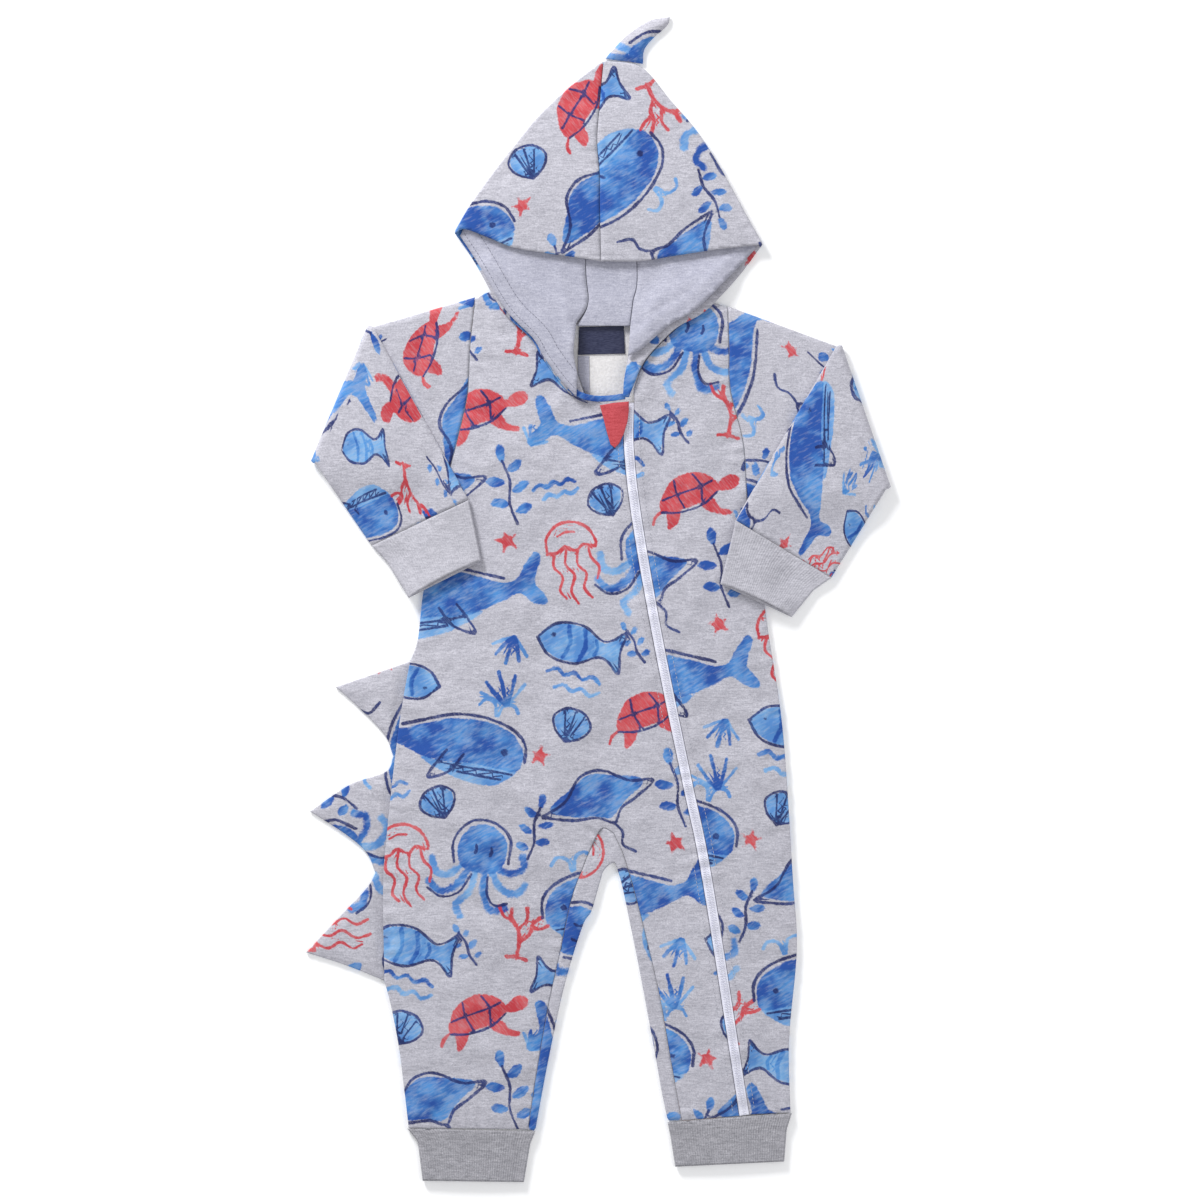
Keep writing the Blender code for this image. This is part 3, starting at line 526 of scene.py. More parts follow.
def nearest_step(line, points):
    """The step from each point to the nearest place on an open line."""
    a, run = line[:-1], line[1:] - line[:-1]
    length = (run**2).sum(axis=1)
    steps = np.zeros((len(points), 2))
    for part in blocks(len(points)):
        to = points[part, None, :] - a[None]
        t = np.clip((to * run).sum(-1) / np.maximum(length, 1e-12), 0, 1)
        off = t[..., None] * run - to
        steps[part] = off[np.arange(off.shape[0]), (off**2).sum(-1).argmin(axis=1)]
    return steps


def print_fields(uv):
    """What is printed at each place of the flat cloth, for each ink.

    A fill is stored as its signed distance. A stroke is stored as the step to its middle line in half widths,
    which stays smooth across the line, and as its distance, which tells two neighbouring strokes apart.
    """
    fields = np.full((len(uv), len(INKS)), INK_REACH)
    strokes = np.full((len(uv), len(INKS), 3), INK_REACH)
    low, high = uv.min(axis=0) - 90, uv.max(axis=0) + 90
    for i in range(math.floor(low[0] / CELL[0]), math.ceil(high[0] / CELL[0]) + 1):
        for j in range(math.floor(low[1] / CELL[1]), math.ceil(high[1] / CELL[1]) + 1):
            corner = np.array([i * CELL[0] + (j % 2) * CELL[0] / 2, j * CELL[1]])
            for name, x, y, turn, size, mirrored in LAYOUT:
                rows, reach = READY[name]
                to = uv - (corner + (x, y))
                near = np.flatnonzero((np.abs(to) < reach * size + INK_REACH).all(axis=1))
                if not len(near):
                    continue
                angle = math.radians(turn)
                back = np.array([[math.cos(angle), -math.sin(angle)], [math.sin(angle), math.cos(angle)]])
                local = to[near] @ back / size
                if mirrored:
                    local[:, 0] *= -1
                for ink, kind, line, width in rows:
                    if kind == "fill":
                        away = distance(line, local)
                        away = np.where(within(line, local), -away, away) * size
                        fields[near, ink] = np.minimum(fields[near, ink], away)
                        continue
                    step = nearest_step(line, local) * size
                    away = np.linalg.norm(step, axis=1) - width / 2
                    closer = away < strokes[near, ink, 2]
                    strokes[near[closer], ink] = np.c_[step / (width / 2), away][closer]
    return np.clip(fields, -INK_REACH, INK_REACH), np.clip(strokes, -INK_REACH, INK_REACH)


def turned_uv(points, turn, shift):
    """Flat cloth coordinates of points in plan, for a panel cut at an angle from the printed cloth."""
    angle = math.radians(turn)
    matrix = np.array([[math.cos(angle), math.sin(angle)], [-math.sin(angle), math.cos(angle)]])
    return points[:, :2] @ matrix + np.array(shift)


# Materials


class Net:
    """A material's node tree, built by short calls."""

    def __init__(self, name):
        self.material = bpy.data.materials.new(name)
        self.material.use_nodes = True
        self.tree = self.material.node_tree
        self.shader = self.tree.nodes["Principled BSDF"]
        self.place = self.add("ShaderNodeTexCoord").outputs["Object"]

    def add(self, kind, **settings):
        node = self.tree.nodes.new(kind)
        for key, value in settings.items():
            setattr(node, key, value)
        return node

    def feed(self, socket, value):
        if isinstance(value, bpy.types.NodeSocket):
            self.tree.links.new(value, socket)
        else:
            socket.default_value = value

    def math(self, operation, a, b=0.0, clamp=False):
        node = self.add("ShaderNodeMath", operation=operation, use_clamp=clamp)
        self.feed(node.inputs[0], a)
        self.feed(node.inputs[1], b)
        return node.outputs[0]

    def span(self, value, low, high, to_low=0.0, to_high=1.0):
        node = self.add("ShaderNodeMapRange", clamp=True)
        for socket, given in zip(node.inputs, (value, low, high, to_low, to_high)):
            self.feed(socket, given)
        return node.outputs[0]

    def moved(self, turn=0.0, scale=(1, 1, 1)):
        """The place seen from axes turned by turn, each then counted scale times as fast."""
        node = self.add("ShaderNodeMapping", vector_type="TEXTURE")
        self.feed(node.inputs["Vector"], self.place)
        node.inputs["Rotation"].default_value = (0, 0, math.radians(turn))
        node.inputs["Scale"].default_value = [1 / rate for rate in scale]
        return node.outputs[0]

    def noise(self, size_mm, detail=2.0, roughness=0.5, vector=None):
        node = self.add("ShaderNodeTexNoise")
        self.feed(node.inputs["Vector"], vector or self.place)
        node.inputs["Scale"].default_value = 1000.0 / size_mm
        node.inputs["Detail"].default_value = detail
        node.inputs["Roughness"].default_value = roughness
        return node.outputs["Fac"]

    def mix(self, share, a, b, blend="MIX"):
        node = self.add("ShaderNodeMix", data_type="RGBA", blend_type=blend)
        self.feed(node.inputs["Factor"], share)
        self.feed(node.inputs["A"], a if isinstance(a, bpy.types.NodeSocket) else (*a, 1))
        self.feed(node.inputs["B"], b if isinstance(b, bpy.types.NodeSocket) else (*b, 1))
        return node.outputs["Result"]

    def ink(self, name, shift):
        """How much of a place an ink covers, by its fills or its strokes, with the edge moved by shift."""
        fill = self.add("ShaderNodeAttribute", attribute_name=f"ink_{name}").outputs["Fac"]
        filled = self.span(self.math("ADD", fill, shift), 0.45, -0.45)
        stroke = self.add("ShaderNodeAttribute", attribute_name=f"stroke_{name}").outputs["Vector"]
        parts = self.add("ShaderNodeSeparateXYZ")
        self.feed(parts.inputs[0], stroke)
        x, y, away = parts.outputs
        reach = self.math("SQRT", self.math("ADD", self.math("MULTIPLY", x, x), self.math("MULTIPLY", y, y)))
        line = self.span(self.math("ADD", reach, self.math("MULTIPLY", shift, 0.55)), 1.3, 0.75)
        near = self.span(away, 1.9, 1.3)
        return self.math("MAXIMUM", filled, self.math("MULTIPLY", line, near))

    def finish(self, colour, roughness=0.9, sheen=0.0, bump=None, strength=0.3, depth_mm=0.3):
        self.feed(self.shader.inputs["Base Color"], colour)
        self.feed(self.shader.inputs["Roughness"], roughness)
        self.shader.inputs["Specular IOR Level"].default_value = 0.25
        self.shader.inputs["Sheen Weight"].default_value = sheen
        self.shader.inputs["Sheen Roughness"].default_value = 0.6
        if bump is not None:
            node = self.add("ShaderNodeBump")
            node.inputs["Strength"].default_value = strength
            node.inputs["Distance"].default_value = depth_mm * MM
            self.feed(node.inputs["Height"], bump)
            self.tree.links.new(node.outputs["Normal"], self.shader.inputs["Normal"])
        return self.material


def heather(net, dark, light, fleck=0.45):
    """Marled yarn: fine flecks, short streaks along the rows and slow drifts of shade."""
    fine = net.noise(1.1, 2.0, 0.7)
    rows = net.noise(2.4, 2.0, 0.6, net.moved(scale=(0.32, 1.9, 1)))
    slow = net.noise(26, 2.0, 0.5)
    patches = net.noise(7.5, 2.0, 0.6, net.moved(scale=(0.6, 1.3, 1)))
    both = net.math("ADD", net.math("MULTIPLY", fine, 0.55), net.math("MULTIPLY", rows, 0.45))
    shade = net.span(both, 0.5 - 0.13, 0.5 + 0.13)
    colour = net.mix(shade, dark, light)
    pale = tuple(min(1.0, 1.16 * c + 0.02) for c in light)
    bright = net.span(net.noise(1.7, 1.0, 0.5, net.moved(scale=(0.6, 1.5, 1))), 0.62, 0.7)
    colour = net.mix(net.math("MULTIPLY", bright, fleck), colour, pale)
    colour = net.mix(net.span(patches, 0.42, 0.66, 0.0, 0.20), colour, dark)
    return net.mix(net.span(slow, 0.35, 0.65, 0.0, 0.14), colour, dark)


def knit(net, fine_mm=1.0):
    fine = net.noise(fine_mm, 2.0, 0.6)
    coarse = net.noise(3.2, 1.0, 0.5, net.moved(scale=(2.2, 0.8, 1)))
    return net.math("ADD", fine, coarse)


GREY_DARK, GREY_LIGHT = (0.365, 0.360, 0.410), (0.620, 0.610, 0.675)


def printed_cloth(name):
    net = Net(name)
    colour = heather(net, GREY_DARK, GREY_LIGHT)
    wobble = net.math("SUBTRACT", net.noise(2.4, 2.0, 0.6), 0.5)
    drift = net.math("SUBTRACT", net.noise(11, 1.0, 0.5), 0.5)
    shift = net.math("ADD", net.math("MULTIPLY", wobble, 2.4), net.math("MULTIPLY", drift, 2.2))
    streaks = net.noise(2.6, 3.0, 0.6, net.moved(turn=28, scale=(0.30, 1.3, 1)))
    cross = net.noise(1.8, 3.0, 0.65, net.moved(turn=-50, scale=(0.25, 1.6, 1)))
    wash = net.noise(21, 2.0, 0.55)
    streak_share = net.math("MULTIPLY", net.math("SUBTRACT", streaks, 0.5), 0.22)
    pool = net.span(net.math("ADD", wash, streak_share), 0.38, 0.62)
    fill = net.span(net.math("ADD", streaks, net.math("MULTIPLY", wash, 0.5)), 0.70, 0.94, 1.0, 0.70)
    dry = net.span(net.math("ADD", cross, net.math("MULTIPLY", wash, 0.2)), 0.56, 0.80, 1.0, 0.72)
    inks = {
        "light": (net.mix(pool, (0.055, 0.22, 0.56), (0.17, 0.41, 0.74)), fill, 0.93),
        "blue": (net.mix(pool, (0.012, 0.075, 0.35), (0.07, 0.26, 0.62)), fill, 0.99),
        "red": (net.mix(pool, (0.50, 0.028, 0.042), (0.61, 0.075, 0.085)), dry, 0.97),
        "navy": (net.mix(pool, (0.008, 0.015, 0.10), (0.02, 0.045, 0.20)), dry, 0.97),
    }
    for ink, (tint, cover, most) in inks.items():
        inside = net.ink(ink, shift)
        colour = net.mix(net.math("MULTIPLY", net.math("MULTIPLY", inside, cover), most), colour, tint)
    return net.finish(colour, 0.9, 0.12, knit(net), 0.35, 0.35)


def plain_cloth(name, dark, light, sheen=0.1, fleck=0.35, bump_mm=1.0):
    net = Net(name)
    return net.finish(heather(net, dark, light, fleck), 0.9, sheen, knit(net, bump_mm), 0.3, 0.3)


def fleece(name):
    net = Net(name)
    tufts = net.noise(2.2, 3.0, 0.65)
    colour = net.mix(net.span(tufts, 0.3, 0.7), (0.66, 0.64, 0.64), (0.83, 0.81, 0.81))
    return net.finish(colour, 0.95, 0.25, tufts, 0.6, 0.8)


def rib_cloth(name, dark, light, groove_shade):
    net = Net(name)
    colour = heather(net, dark, light, 0.3)
    depth = net.add("ShaderNodeAttribute", attribute_name="groove_shade").outputs["Fac"]
    # Painted shade: the colour is darkened in the rib's grooves, by the groove mask from the mesh times the
    # given strength.
    colour = net.mix(net.math("MULTIPLY", depth, groove_shade), colour, (0.20, 0.20, 0.235))
    return net.finish(colour, 0.9, 0.1, knit(net, 0.8), 0.3, 0.25)


def satin(name):
    net = Net(name)
    weave = net.noise(0.9, 1.0, 0.5, net.moved(scale=(0.3, 2.2, 1)))
    colour = net.mix(net.span(weave, 0.35, 0.65), (0.016, 0.02, 0.055), (0.045, 0.05, 0.10))
    return net.finish(colour, 0.42, 0.1, weave, 0.25, 0.15)


def tape(name):
    net = Net(name)
    weave = net.noise(0.8, 1.0, 0.5, net.moved(turn=7, scale=(1.8, 0.5, 1)))
    colour = net.mix(net.span(weave, 0.3, 0.7), (0.68, 0.68, 0.80), (0.86, 0.86, 0.95))
    return net.finish(colour, 0.75, 0.05, weave, 0.3, 0.15)


def nylon(name):
    net = Net(name)
    shade = net.noise(3.0, 1.0, 0.5)
    colour = net.mix(net.span(shade, 0.3, 0.7), (0.78, 0.78, 0.88), (0.90, 0.90, 0.97))
    return net.finish(colour, net.span(shade, 0.3, 0.7, 0.34, 0.46), 0.0, shade, 0.1, 0.05)


def thread(name, dark, light):
    net = Net(name)
    twist = net.noise(0.7, 1.0, 0.5, net.moved(turn=35, scale=(0.5, 2.5, 1)))
    return net.finish(net.mix(net.span(twist, 0.35, 0.65), dark, light), 0.7, 0.1, twist, 0.3, 0.1)


PRINT = printed_cloth("printed_jersey")
INSIDE = fleece("brushed_inside")
LINING_CLOTH = plain_cloth("lining_jersey", (0.325, 0.328, 0.408), (0.530, 0.530, 0.615))
# The last number of each rib is the strength of the shade painted into its grooves.
SLEEVE_RIB = rib_cloth("sleeve_rib_knit", (0.375, 0.37, 0.415), (0.62, 0.61, 0.67), 0.10)
ANKLE_RIB = rib_cloth("ankle_rib_knit", (0.235, 0.232, 0.255), (0.545, 0.535, 0.575), 0.30)
GUARD_CLOTH = plain_cloth("guard_jersey", (0.42, 0.045, 0.055), (0.62, 0.10, 0.12), 0.1, 0.12)
SATIN = satin("label_satin")
TAPE = tape("zip_tape")
NYLON = nylon("zip_coil")
GREY_THREAD = thread("grey_thread", (0.40, 0.40, 0.46), (0.58, 0.58, 0.64))
# The hem thread is much darker than the lining: real stitches, drawn dark as painted shade for the shadow
# line along the hood's hem.
HEM_THREAD_WITH_SHADE = thread("hem_thread_with_painted_shade", (0.13, 0.13, 0.18), (0.24, 0.24, 0.30))


# Making cloth


def grid_inside(outline, spacing, keep_off=0.6, lines=()):
    """Staggered rows of points inside an outline, clear of its edge, and points along creases in it."""
    low, high = outline.min(axis=0), outline.max(axis=0)
    row_step = spacing * math.sqrt(3) / 2
    rows = []
    for k in range(math.ceil((high[1] - low[1]) / row_step)):
        y = low[1] + (k + 0.5) * row_step
        x = np.arange(low[0] + spacing * (0.25 + 0.5 * (k % 2)), high[0], spacing)
        rows.append(np.column_stack([x, np.full(len(x), y)]))
    points = np.vstack(rows)
    points = points[within(outline, points)]
    points = points[distance(outline, points) > keep_off * spacing]
    for line in lines:
        points = points[distance(line, points, False) > 0.45 * spacing]
    creases = [p for line in lines for p in line]
    if creases:
        creases = np.array(creases)
        creases = creases[within(outline, creases)]
        points = np.vstack([points, creases[distance(outline, creases) > 0.25 * spacing]])
    return points


def flat_mesh(outline, inside):
    """Points, triangles and the outline's own point numbers of a flat outline filled with triangles."""
    given = [Vector(p) for p in outline] + [Vector(p) for p in inside]
    made = delaunay_2d_cdt(given, [], [list(range(len(outline)))], 1, 1e-5)
    points, triangles, sources = made[0], made[2], made[3]
    number = {old: new for new, olds in enumerate(sources) for old in olds}
    return np.array(points), np.array([tuple(t) for t in triangles]), [number[k] for k in range(len(outline))]


def make_object(name, points, groups, attributes=None, replaces=(), slot_name=None):
    """A closed piece from points in millimetres and groups of faces, each with its material."""
    faces, materials, numbers = [], [], []
    for group, made_of in groups:
        if made_of not in materials:
            materials.append(made_of)
        rows = [tuple(int(k) for k in f) for f in group]
        faces += rows
        numbers += [materials.index(made_of)] * len(rows)
    mesh = bpy.data.meshes.new(name)
    mesh.from_pydata(((np.asarray(points) + PLACE) * MM).tolist(), [], faces)
    for made_of in materials:
        mesh.materials.append(made_of)
    mesh.polygons.foreach_set("material_index", numbers)
    for key, values in (attributes or {}).items():
        values = np.asarray(values, np.float32)
        kind, field = ("FLOAT", "value") if values.ndim == 1 else ("FLOAT_VECTOR", "vector")
        mesh.attributes.new(key, kind, "POINT").data.foreach_set(field, values.ravel())
    work = bmesh.new()
    work.from_mesh(mesh)
    bmesh.ops.recalc_face_normals(work, faces=work.faces)
    if work.calc_volume(signed=True) < 0:
        bmesh.ops.reverse_faces(work, faces=work.faces)
    work.to_mesh(mesh)
    work.free()
    mesh.shade_smooth()
    piece = bpy.data.objects.new(name, mesh)
    bpy.context.scene.collection.objects.link(piece)
    laid[name] = BVHTree.FromPolygons((np.asarray(points)).tolist(), faces)
    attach(piece, "root")
    if replaces:
        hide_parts(*replaces)
    return piece


def ink_values(uv):
    fields, strokes = print_fields(uv)
    values = {f"ink_{ink}": fields[:, k] for k, ink in enumerate(INKS)}
    values |= {f"stroke_{ink}": strokes[:, k] for k, ink in enumerate(INKS)}
    return values


def top_under(points, trees):
    """The highest surface under each point, and 0 where there is only the floor."""
    down = Vector((0, 0, -1))
    tops = np.zeros(len(points))
    for k, (x, y) in enumerate(points):
        for tree in trees:
            hit = tree.ray_cast(Vector((x, y, ABOVE_ALL)), down)[0]
            if hit is not None and hit.z > tops[k]:
                tops[k] = hit.z
    return tops


def rest_on(points, trees, spread):
    """The underside of cloth laid over what is there: clear of it within spread, then sloping off."""
    height = np.zeros(len(points))
    for radius in [0, 0.5 * spread, *np.arange(spread, spread + DRAPE_REACH, DRAPE_STEP)]:
        turns = 1 if radius == 0 else DRAPE_TURNS
        for k in range(turns):
            angle = 2 * math.pi * k / turns
            moved = points + radius * np.array([math.cos(angle), math.sin(angle)])
            height = np.maximum(height, top_under(moved, trees) - DRAPE_SLOPE * max(0, radius - spread))
    return height + GAP * np.clip(height / CLOTH, 0, 1)


def evened(values, triangles, rounds, floor=None):
    """Heights averaged with their neighbours' several times, never below floor."""
    edges = np.vstack([triangles[:, [0, 1]], triangles[:, [1, 2]], triangles[:, [2, 0]]])
    edges = np.vstack([edges, edges[:, ::-1]])
    count = np.bincount(edges[:, 0], minlength=len(values))
    for _ in range(rounds):
        total = np.bincount(edges[:, 0], weights=values[edges[:, 1]], minlength=len(values))
        values = 0.4 * values + 0.6 * total / np.maximum(count, 1)
        if floor is not None:
            values = np.maximum(values, floor)
    return values


ROUNDING = [(0.0, 0.5), (0.07, 0.74), (0.22, 0.93), (0.45, 1.0)]


def shell(
    name, outline, under, thickness, grid, outside, inside=None, uv=None, up="outside", smoothing=0, **extra
):
    """A layer of cloth with rounded edges: its outline in plan, its underside's height and its thickness."""
    edge = inset(outline, GAP / 2)
    thick = thickness if callable(thickness) else lambda p: np.full(len(p), float(thickness))
    t_edge = float(thick(edge[:1])[0])
    rings = [inset(edge, share * t_edge) for share, _ in ROUNDING]
    points, triangles, ring = flat_mesh(rings[-1], grid_inside(rings[-1], grid))
    low = under(points)
    if smoothing:
        low = evened(low, triangles, smoothing)
    high = low + thick(points)
    n, r = len(points), len(ring)
    stacks = [np.c_[points, low], np.c_[points, high]]
    ring = np.array(ring)
    levels = []
    for k, (_, share) in enumerate(ROUNDING[:-1]):
        for side in (1 - share, share) if share != 0.5 else (0.5,):
            stacks.append(np.c_[rings[k], low[ring] + side * (high[ring] - low[ring])])
            levels.append(2 * n + (len(stacks) - 3) * r + np.arange(r))
    chain = [ring, *[levels[k] for k in (3, 1)], levels[0], *[levels[k] for k in (2, 4)], n + ring]
    wall = []
    for a, b in zip(chain, chain[1:]):
        wall += np.column_stack([a, np.roll(a, -1), np.roll(b, -1), b]).tolist()
    under_faces, over_faces = triangles[:, ::-1], triangles + n
    inner = inside or outside
    if up == "outside":
        groups = [(over_faces, outside), (wall, outside), (under_faces, inner)]
    else:
        groups = [(over_faces, inner), (wall, outside), (under_faces, outside)]
    all_points = np.vstack(stacks)
    attributes = ink_values(uv(all_points)) if uv is not None else {}
    return make_object(name, all_points, groups, attributes, **extra)


def folded(name, fold, rests, heights, thickness, grid, materials, uv, lines=(), **extra):
    """Cloth folded over along a line: a lower and an upper layer with a rounded edge between them."""
    edge_line = smooth(fold, grid)
    edge_count = len(edge_line) - 1
    layers = []
    for rest, height in zip(rests, heights):
        outline = inset(joined([fold] + rest, grid), GAP / 2)
        points, triangles, ring = flat_mesh(outline, grid_inside(outline, grid, 0.6, lines))
        layers.append((points, triangles, ring, height(points, triangles)))
    (p, tri_p, ring_p, z_p), (q, tri_q, ring_q, z_q) = layers
    inward = normals(edge_line, False) * (1 if area(outline) > 0 else -1)
    inner_p, inner_q = p.copy(), q.copy()
    for k in range(1, edge_count):
        inner_p[ring_p[k]] += inward[k] * thickness
        inner_q[ring_q[k]] += inward[k] * thickness
    n, m = len(p), len(q)
    stacks = [np.c_[p, z_p], np.c_[inner_p, z_p + thickness], np.c_[inner_q, z_q], np.c_[q, z_q + thickness]]
    starts = [0, n, 2 * n, 2 * n + m]
    outer_faces, inner_faces, wall = [], [], []
    outer_faces += (tri_p[:, ::-1]).tolist() + (tri_q + starts[3]).tolist()
    inner_faces += (tri_p + starts[1]).tolist() + (tri_q[:, ::-1] + starts[2]).tolist()
    for ring, bottom, top in ((ring_p, starts[0], starts[1]), (ring_q, starts[2], starts[3])):
        for k in range(edge_count, len(ring)):
            a, b = ring[k], ring[(k + 1) % len(ring)]
            wall.append((bottom + a, bottom + b, top + b, top + a))
    total = 2 * n + 2 * m
    columns = []
    turns = np.linspace(0, math.pi, 8)[1:-1]
    extra_points = []
    for k in range(edge_count + 1):
        a, b = ring_p[k], ring_q[k]
        bottom, top = z_p[a], z_q[b] + thickness
        middle, half = 0.5 * (bottom + top), 0.5 * (top - bottom)
        if k in (0, edge_count):
            columns.append([starts[0] + a, *[None] * len(turns), starts[3] + b])
            continue
        column = [starts[0] + a]
        for turn in turns:
            out = p[a] - inward[k] * 0.5 * thickness * math.sin(turn) ** 0.7
            extra_points.append([*out, middle - half * math.cos(turn)])
            column.append(total)
            total += 1
        columns.append([*column, starts[3] + b])
    for k in range(edge_count):
        here, there = columns[k], columns[k + 1]
        for one in range(len(here) - 1):
            quad = [here[one], there[one], there[one + 1], here[one + 1]]
            corner = k == 0, k == edge_count - 1
            if corner[0]:
                side = [starts[0] + ring_p[0], starts[1] + ring_p[0]]
                side += [starts[2] + ring_q[0], starts[3] + ring_q[0]]
                quad[0], quad[3] = side[near_level(one, len(here))], side[near_level(one + 1, len(here))]
            if corner[1]:
                last = edge_count
                side = [starts[0] + ring_p[last], starts[1] + ring_p[last], starts[2] + ring_q[last],
                        starts[3] + ring_q[last]]
                quad[1], quad[2] = side[near_level(one, len(here))], side[near_level(one + 1, len(here))]
            kept = [v for i, v in enumerate(quad) if v not in quad[:i]]
            if len(kept) > 2:
                outer_faces.append(tuple(kept))
        a, b, c, d = ring_p[k], ring_p[k + 1], ring_q[k + 1], ring_q[k]
        inner_faces.append((starts[1] + a, starts[1] + b, starts[2] + c, starts[2] + d))
    stacks.append(np.array(extra_points))
    all_points = np.vstack(stacks)
    groups = [(outer_faces, materials[0]), (wall, materials[0]), (inner_faces, materials[1])]
    attributes = ink_values(uv(all_points)) if uv is not None else {}
    return make_object(name, all_points, groups, attributes, **extra)


def near_level(one, count):
    """Which of a corner's four points a place on the rounded edge runs to."""
    return round(3 * one / (count - 1))


def ring_pair(line, first, second, thickness):
    """The outer and inner ring of a flattened tube across a line, from the heights of its two faces."""
    turn = np.sign(np.mean(second - first))
    across = line[-1] - line[0]
    across = across / np.linalg.norm(across)
    rings = []
    for shrink in (0.0, thickness):
        row = line + np.linspace(1, -1, len(line))[:, None] * across * shrink
        one, two = first + turn * shrink, second - turn * shrink
        rim = 0.0 if shrink else 0.5 * thickness
        rows = [np.c_[row, one]]
        for share, reach in ((0.25, 0.8), (0.5, 1.0), (0.75, 0.8)):
            rows.append([[*(row[-1] + across * rim * reach), one[-1] + share * (two[-1] - one[-1])]])
        rows.append(np.c_[row, two][::-1])
        for share, reach in ((0.75, 0.8), (0.5, 1.0), (0.25, 0.8)):
            rows.append([[*(row[0] - across * rim * reach), one[0] + share * (two[0] - one[0])]])
        rings.append(np.vstack(rows))
    return rings


def tube(name, stations, materials, attributes=None, **extra):
    """A closed wall of cloth through pairs of rings, open at both ends."""
    count = len(stations[0][0])
    points = np.vstack([np.vstack(pair) for pair in stations])
    outer, inner = [], []
    for s in range(len(stations) - 1):
        here, there = 2 * count * s, 2 * count * (s + 1)
        for shift, faces in ((0, outer), (count, inner)):
            for k in range(count):
                a, b = shift + k, shift + (k + 1) % count
                faces.append((here + a, here + b, there + b, there + a))
    for start in (0, 2 * count * (len(stations) - 1)):
        for k in range(count):
            b = (k + 1) % count
            outer.append((start + k, start + b, start + count + b, start + count + k))
    return make_object(name, points, [(outer, materials[0]), (inner, materials[1])], attributes, **extra)


def turned(rings, out, axis_height, angle):
    """Rings turned about the elbow fold, which lies along them at axis_height."""
    made = []
    for ring in rings:
        reach = axis_height - ring[:, 2]
        plan = ring[:, :2] + np.outer(reach * math.sin(angle), out)
        made.append(np.c_[plan, axis_height - reach * math.cos(angle)])
    return made


def cross_line(start, end, count):
    return np.array(start, float) + np.linspace(0, 1, count)[:, None] * (np.array(end, float) - start)


def stitches(name, lines, pitch, length, width, made_of, trees, sink=0.12, **extra):
    """Rows of single stitches along lines, lying on the cloth beneath them."""
    points, faces = [], []
    for line in lines:
        run = spaced(np.asarray(line, float), pitch)
        centres = 0.5 * (run[1:] + run[:-1])
        ways = run[1:] - run[:-1]
        ways /= np.linalg.norm(ways, axis=1)[:, None]
        ends = [centres - ways * length / 2, centres, centres + ways * length / 2]
        heights = [top_under(e, trees) for e in ends]
        sides = np.column_stack([-ways[:, 1], ways[:, 0]])
        for k in range(len(centres)):
            if min(h[k] for h in heights) < CLOTH:
                continue
            first = len(points)
            for e, h, size, lift in zip(ends, heights, (0.45, 1.0, 0.45), (0.0, 0.16, 0.0)):
                x, y = e[k]
                sx, sy = sides[k] * width * size / 2
                z = h[k] - sink + lift
                points += [(x + sx, y + sy, z), (x, y, z + width * 0.75 * size)]
                points += [(x - sx, y - sy, z), (x, y, z - width * 0.4 * size)]
            for s in (0, 4):
                for c in range(4):
                    d = (c + 1) % 4
                    faces.append((first + s + c, first + s + d, first + s + 4 + d, first + s + 4 + c))
            faces.append((first + 3, first + 2, first + 1, first))
            faces.append((first + 8, first + 9, first + 10, first + 11))
    return make_object(name, points, [(faces, made_of)], **extra)


# Body


def body_outline(step, fin_root=0.0):
    side_fin = beside(SIDE_R_FIN, fin_root) if fin_root else SIDE_R_FIN
    return joined(
        [SHOULDER_R, BACK_NECK, SHOULDER_L, ARMHOLE_L, SIDE_L, [SIDE_L[-1], GUSSET_SEAM_L[-1]]]
        + [back_along(run) for run in (GUSSET_SEAM_L, GUSSET_ARCH, GUSSET_SEAM_R)]
        + [[GUSSET_SEAM_R[0], SIDE_R_LOWER[-1]]]
        + [back_along(run) for run in (SIDE_R_LOWER, side_fin, SIDE_R_UPPER, ARMHOLE_R)],
        step,
    )


BODY = body_outline(10.8)


def cad_place():
    """How far the frame's origin lies from the tables' own, from the back panel's box."""
    low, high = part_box("back")
    edge = inset(body_outline(3.0, FIN_ROOT + GAP), GAP / 2)
    middle = np.array(((low + high) / 2)[:2]) / MM
    return np.append(middle - (edge.min(axis=0) + edge.max(axis=0)) / 2, 0)


PLACE = cad_place()
ZIP_CENTRE = smooth(ZIP_LINE, 6)
SEAMS = [
    (ARMHOLE_R, 16, 13, 0.7), (ARMHOLE_L, 16, 13, 0.7), (SIDE_R_UPPER, 12, 15, 0.5),
    (SIDE_R_FIN, 13, 11, 0.7), (SIDE_R_LOWER, 12, 13, 0.5), (SIDE_L, 12, 16, 0.5),
    (GUSSET_SEAM_R, 11, 12, 0.7), (GUSSET_SEAM_L, 11, 12, 0.6),
    ([GUSSET_SEAM_R[0], SIDE_R_LOWER[-1]], 15, 9.5, 0.75), ([SIDE_L[-1], GUSSET_SEAM_L[-1]], 15, 9.5, 0.7),
    (FRONT_NECK_R, 13, 12, 0.5), (FRONT_NECK_L, 13, 12, 0.5), (GUSSET_ARCH, 15, 9, 0.9),
]


def front_height(points):
    """The underside of the front: its loft, its soft folds and the gathers along its seams."""
    away = distance(BODY, points)
    loose = 1 - np.exp(-((away / LOFT_REACH) ** 2))
    rise = LOFT * loose
    for fold in FOLDS:
        line = np.array([fold["start"], fold["end"]], float)
        rise += fold["height"] * np.exp(-((distance(line, points, False) / fold["width"]) ** 2)) * loose
    relief = 0.85 * (1 + ripple(points, 58, 3)) * ease(away / 18)
    relief = relief + 0.34 * (1 + ripple(points, 24, 5)) * ease(away / 8)
    for k, (seam, reach, pitch, height) in enumerate(SEAMS):
        relief += 2.1 * puckers(points, smooth(seam, 6), reach, pitch, height, 20 + 3 * k)
    relief += puckers(points, ZIP_CENTRE, 15, 17, 1.5, 90)
    relief += ZIP_BAND_RISE * ease((ZIP_BAND - distance(ZIP_CENTRE, points, False)) / PRINT_GRID + 0.5)
    return CLOTH + GAP + rise + relief


